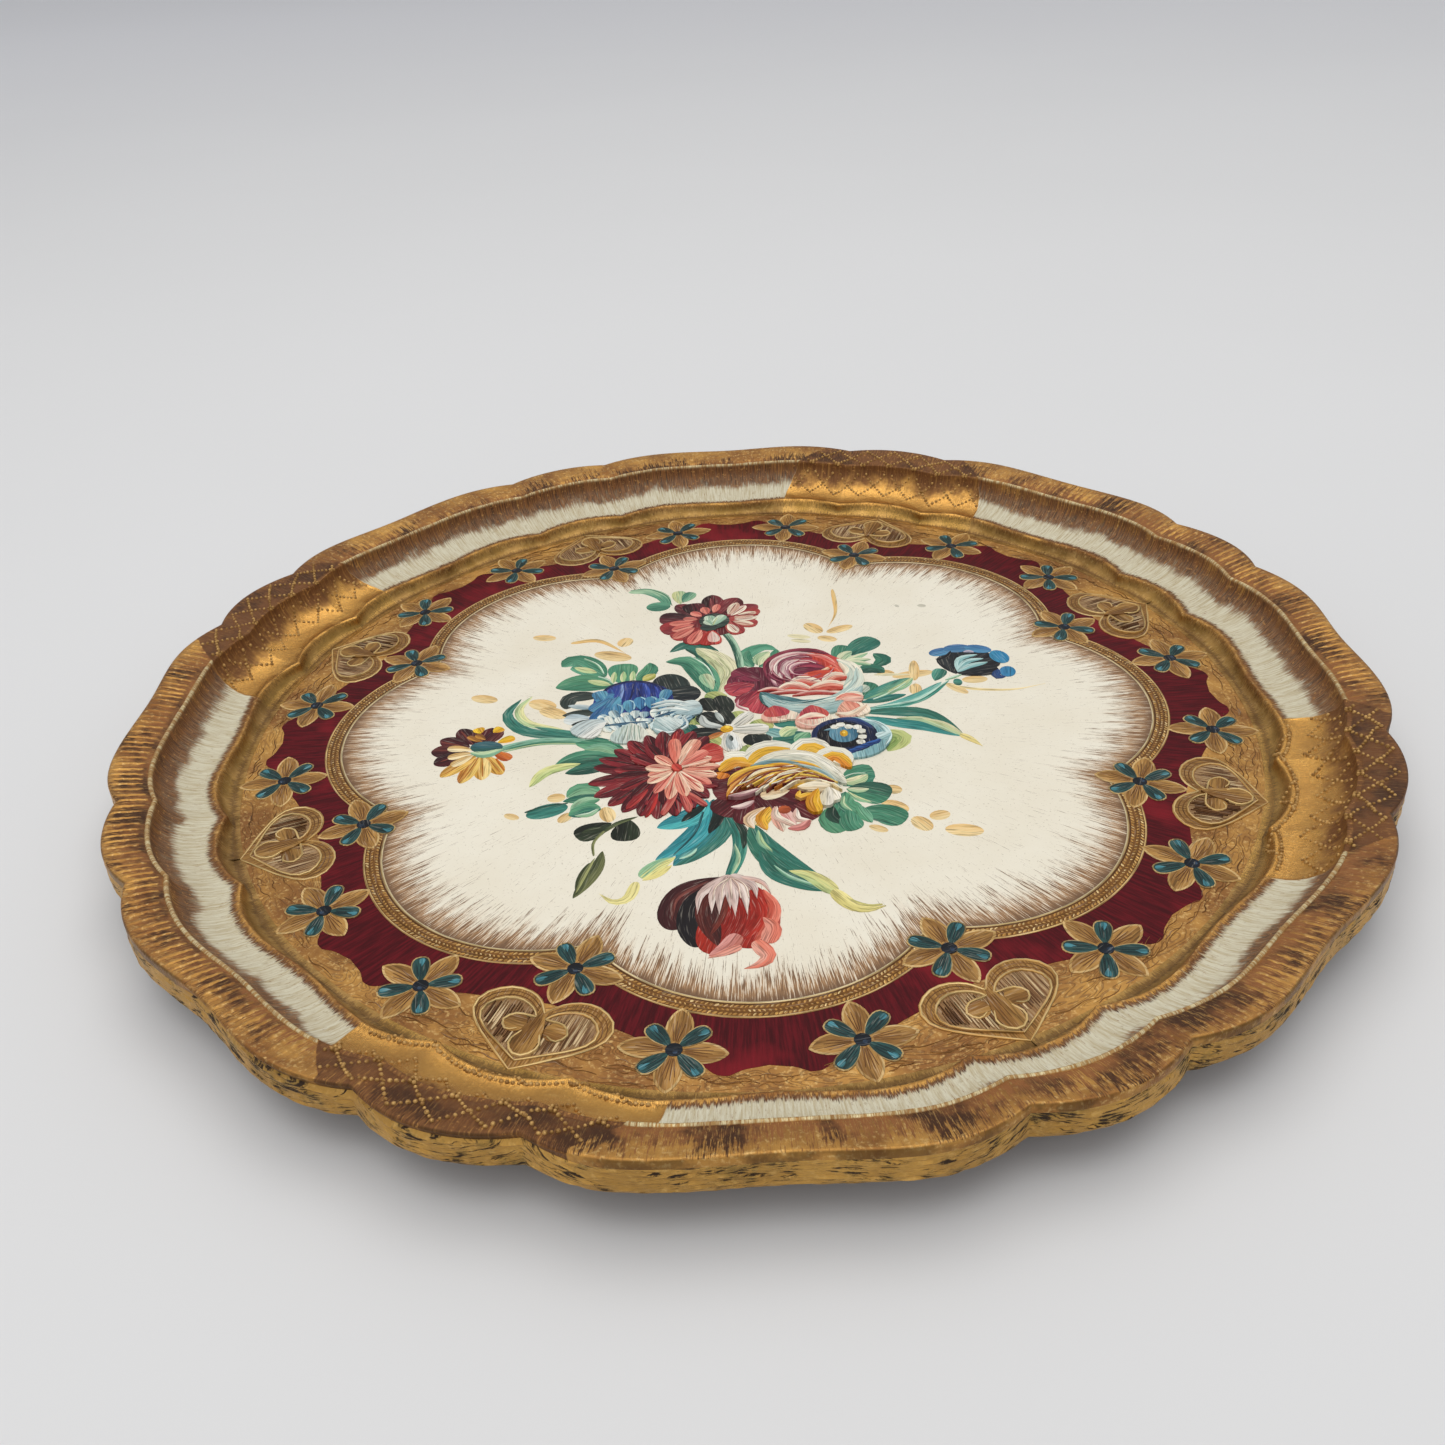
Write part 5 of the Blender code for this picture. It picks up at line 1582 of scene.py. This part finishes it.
def bottom_leaves(paint):
    draw = paint.stroke
    draw("leaf", 10.6, "3a7a6c", "2f7f86", (-11, -44), (-10.6, -58), (-17, -68), (-22.6, -74.4))
    draw("leaf", 7, "3a9aa0", "2b8088", (-13, -44), (-14.6, -57), (-21, -66), (-27.6, -71.4))
    draw("leaf", 8, "4aa8a8", "2b7f88", (-14, -43.6), (-17, -51.6), (-27.4, -56.6))
    draw("leaf", 3, "16231f", "1f2f2a", (-13, -46), (-17, -50.6), (-20.4, -54.4))
    draw("leaf", 3.8, "141c1a", "1f2a26", (-11.4, -44.6), (-9.6, -52), (-12.6, -60.6))
    draw("line", 0.8, "1f4a4c", "2b6a70", (-14, -50), (-16.6, -60), (-22.6, -69.6))
    draw("leaf", 2, MINT, "6aa8a0", (-16, -67), (-18, -69.4), (-21, -71.4))
    draw("petal", 5.4, "e2d88c", SAGE, (-22, -70.6), (-26.6, -73.6), (-31.4, -79))
    draw("leaf", 2.2, "ecdf90", "dcd084", (-23, -74), (-27, -78), (-31, -80))
    draw("comma", 3.4, "e8dc94", "e0d48c", (-32.6, -80.4), (-34.6, -87), (-38.6, -88.4), (-42.6, -84.6))
    draw("line", 4.2, "3f8a78", "2f6f62", (-6.2, -52.6), (-4, -62), (-4.4, -71), (-7.4, -81))
    draw("leaf", 2.6, "1c2c24", "24382e", (-5.4, -53), (-2.6, -61), (-3, -68.6))
    draw("leaf", 1.4, "bcd0a4", "7da888", (-5.4, -66), (-4.6, -73), (-7, -80.6))
    draw("leaf", 9.4, SPRUCE, IVY, (-0.4, -57), (2.6, -68), (9, -78), (19.6, -88))
    draw("leaf", 6, PINE, SPRUCE, (1.4, -70), (5, -79), (12, -84.6), (19, -88.6))
    draw("leaf", 2, "b4cc94", "7da888", (1.4, -60.4), (2, -66), (5, -70.6))
    draw("leaf", 1.4, MINT, "6aa080", (5, -76.6), (9, -82), (17, -87))
    draw("petal", 5, "dcd58c", "b9c584", (9, -79.4), (15, -82.4), (21, -89.6))
    draw("comma", 4.2, "ecdf94", "dccf80", (20, -88.6), (24.4, -95), (28.6, -97), (33.4, -96))
    draw("line", 0.6, "b0ac64", "c8c078", (24, -92.6), (28.6, -95.4), (32.6, -95.4))


def tulip(paint):
    draw = paint.stroke
    draw("petal", 8.6, "4c201f", "3a1618", (-8.6, -80.4), (-19, -85.6), (-22.6, -94), (-21.6, -101))
    draw("leaf", 2, "7a4038", "4c201f", (-13, -81.6), (-21.6, -88), (-23, -97))
    draw("petal", 7.4, "1f1a1c", "171316", (-9.6, -82), (-16.6, -90), (-18, -99), (-15.6, -108))
    draw("petal", 14, "8f2a20", "a0281a", (-6, -82), (-8, -96), (-11.6, -111.4))
    draw("petal", 15, "a0261a", "861c14", (-4, -82), (-1.4, -96), (-5.6, -109))
    draw("leaf", 6.4, "3f1a18", "5a231d", (-9.6, -83), (-13.6, -94), (-11, -108))
    draw("leaf", 3, "6e2c22", "3f1a18", (-8, -86), (-10, -96), (-13, -104))
    draw("leaf", 4.6, "b02c1e", "8c2016", (-1, -88), (0.6, -97), (-4, -106))
    draw("leaf", 3.6, "dc7a64", "b8503e", (1.6, -86.6), (4.2, -94), (2.6, -101), (-1.6, -107.6))
    draw("petal", 5, "dc7a64", "e29480", (1, -98), (3.4, -102), (1.6, -108))
    draw("comma", 4.6, "e8836a", "e0a08c", (-1.6, -107), (1.6, -112.6), (-0.6, -115.6), (-4.6, -117))
    draw("petal", 5, "d8948a", "b86a5c", (-13.4, -111.6), (-8.6, -108.6), (-5.6, -104))
    draw("comma", 2.6, "e8a08c", "d88a78", (-5, -108.6), (-9, -110.6), (-13.6, -112.4))
    veil = (("dcc8be", "c0a49a"), ("e4d4c8", "ccb2a8"))
    draw("petal", 11, "cdb0a2", "d8c2b6", (-7, -79.8), (-6.4, -88))
    tips = ((-16.2, -95.4), (-12.4, -95.4), (-10.4, -96), (-7.4, -94))
    tips += ((-6.2, -97), (-3, -96.6), (-0.2, -90.4))
    for place, (x, y) in enumerate(tips):
        bend = (-7 + (x + 7) * 0.85, -80 + (y + 80) * 0.45)
        draw("comma", 3.2, *veil[place % 2], (-7, -80), bend, (x, y), split=0.5)
    draw("comma", 1.6, "e0c4b8", "d0a89a", (-4, -81), (1.4, -83.6), (3.6, -88.6))
    for x in (-12, -9.6, -7, -4.6, -2.4):
        draw("line", 0.4, "f0e2cc", "b89484", (-7, -81), (-7 + (x + 7) * 0.8, -84.6), (x, -90))


# The pieces of the bouquet, from the lowest paint to the highest.
BOUQUET = {
    "pale_sprigs": pale_sprigs,
    "upper_leaves": upper_leaves,
    "top_dahlia": top_dahlia,
    "yellow_brown_flower": yellow_brown_flower,
    "left_leaves": left_leaves,
    "rose_leaves": rose_leaves,
    "bottom_leaves": bottom_leaves,
    "right_leaves": right_leaves,
    "centre_leaves": centre_leaves,
    "white_and_black_flower": white_and_black_flower,
    "blue_flower": blue_flower,
    "big_rose": big_rose,
    "anemone": anemone,
    "blue_bell_flower": blue_bell_flower,
    "yellow_rose": yellow_rose,
    "red_dahlia": red_dahlia,
    "tulip": tulip,
}


def build_bouquet(oil):
    for name, draw_strokes in BOUQUET.items():
        paint = Paint(name, oil)
        draw_strokes(paint)
        paint.finish()
# ---------------------------------------------------------------- studio


FLOOR_SHIFT = 4.0  # metres, so that the sheet reaches far behind the tray


def build_camera():
    """The camera looks down at 32 degrees from 0.44 m, a little off centre and slightly tilted."""
    elevation, distance = math.radians(32.402), 439.4 * MM
    pan, tilt, roll = math.radians(0.951), math.radians(0.157), math.radians(-2.832)
    away = Matrix.Rotation(math.radians(-0.66), 3, "Z")
    place = Vector((0, -distance * math.cos(elevation), distance * math.sin(elevation)))
    ahead = -place.normalized()
    right = Vector((1, 0, 0))
    level = Matrix((right, ahead.cross(right), ahead))  # rows: right, down, ahead
    turned = Matrix.Rotation(roll, 3, "Z") @ Matrix.Rotation(tilt, 3, "X")
    turned = turned @ Matrix.Rotation(pan, 3, "Y") @ level
    axes = turned.transposed() @ Matrix.Diagonal((1, -1, -1))
    data = bpy.data.cameras.new("camera")
    data.lens = 34.03
    data.sensor_width = 36.0
    data.clip_start = 0.01
    camera = bpy.data.objects.new("camera", data)
    matrix = (away @ axes).to_4x4()
    matrix.translation = away @ place + Vector((0, 0, FIELD * MM))
    camera.matrix_world = matrix
    bpy.context.scene.collection.objects.link(camera)
    bpy.context.scene.camera = camera


def area_light(name, place, aim, size, power, colour):
    data = bpy.data.lights.new(name, "AREA")
    data.shape = "DISK"
    data.size = size
    data.energy = power
    data.color = colour
    light = bpy.data.objects.new(name, data)
    light.location = place
    light.rotation_euler = (Vector(aim) - Vector(place)).to_track_quat("-Z", "Y").to_euler()
    bpy.context.scene.collection.objects.link(light)


def build_studio():
    """A sheet of pale paper with painted light that makes it lighter far off, under three soft lights and a
    grey sky.
    """
    bpy.ops.mesh.primitive_plane_add(size=14.0, location=(0, FLOOR_SHIFT, 0))
    floor = bpy.context.active_object
    floor.name = "studio_floor"
    shade = Shade("paper_painted_lighter_far_off", roughness=0.9)
    paper = shade.mix(shade.noise(3.0), rgb("d6d6d6"), rgb("dadada"))
    # Painted light: the paper turns lighter with distance from the tray.
    away = shade.vector("LENGTH", shade.vector("ADD", shade.place, (0.0, FLOOR_SHIFT, 0.0)))
    far = shade.step(away, 0.7, 3.0)
    floor.data.materials.append(shade.finish(shade.mix(far, paper, rgb("f4f4f6"))))
    area_light("ceiling", (0, 0, 2.0), (0, 0, 0), 2.6, 20.0, (1.0, 0.995, 0.985))
    area_light("window", (0.15, 0.75, 1.6), (0, 0, 0), 1.4, 3.5, (1.0, 0.985, 0.96))
    area_light("fill", (-0.3, -1.0, 1.4), (0, -0.1, 0), 1.8, 6.4, (1.0, 0.985, 0.96))
    world = bpy.data.worlds.new("studio")
    world.use_nodes = True
    world.node_tree.nodes["Background"].inputs["Color"].default_value = (0.9, 0.91, 0.94, 1)
    world.node_tree.nodes["Background"].inputs["Strength"].default_value = 0.53
    bpy.context.scene.world = world
    bpy.context.scene.view_settings.view_transform = "Standard"


def main():
    build_camera()
    build_studio()
    build_rim()
    build_beads(gesso_material())
    build_field()
    oil = paint_material("oil_paint", 0.0, 0.4)
    leaf = paint_material("painted_gold_leaf", 0.4, 0.38)
    build_ornament(oil, leaf)
    build_bouquet(oil)
    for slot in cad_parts["base_panel"].material_slots:
        slot.material = panel_material()


main()
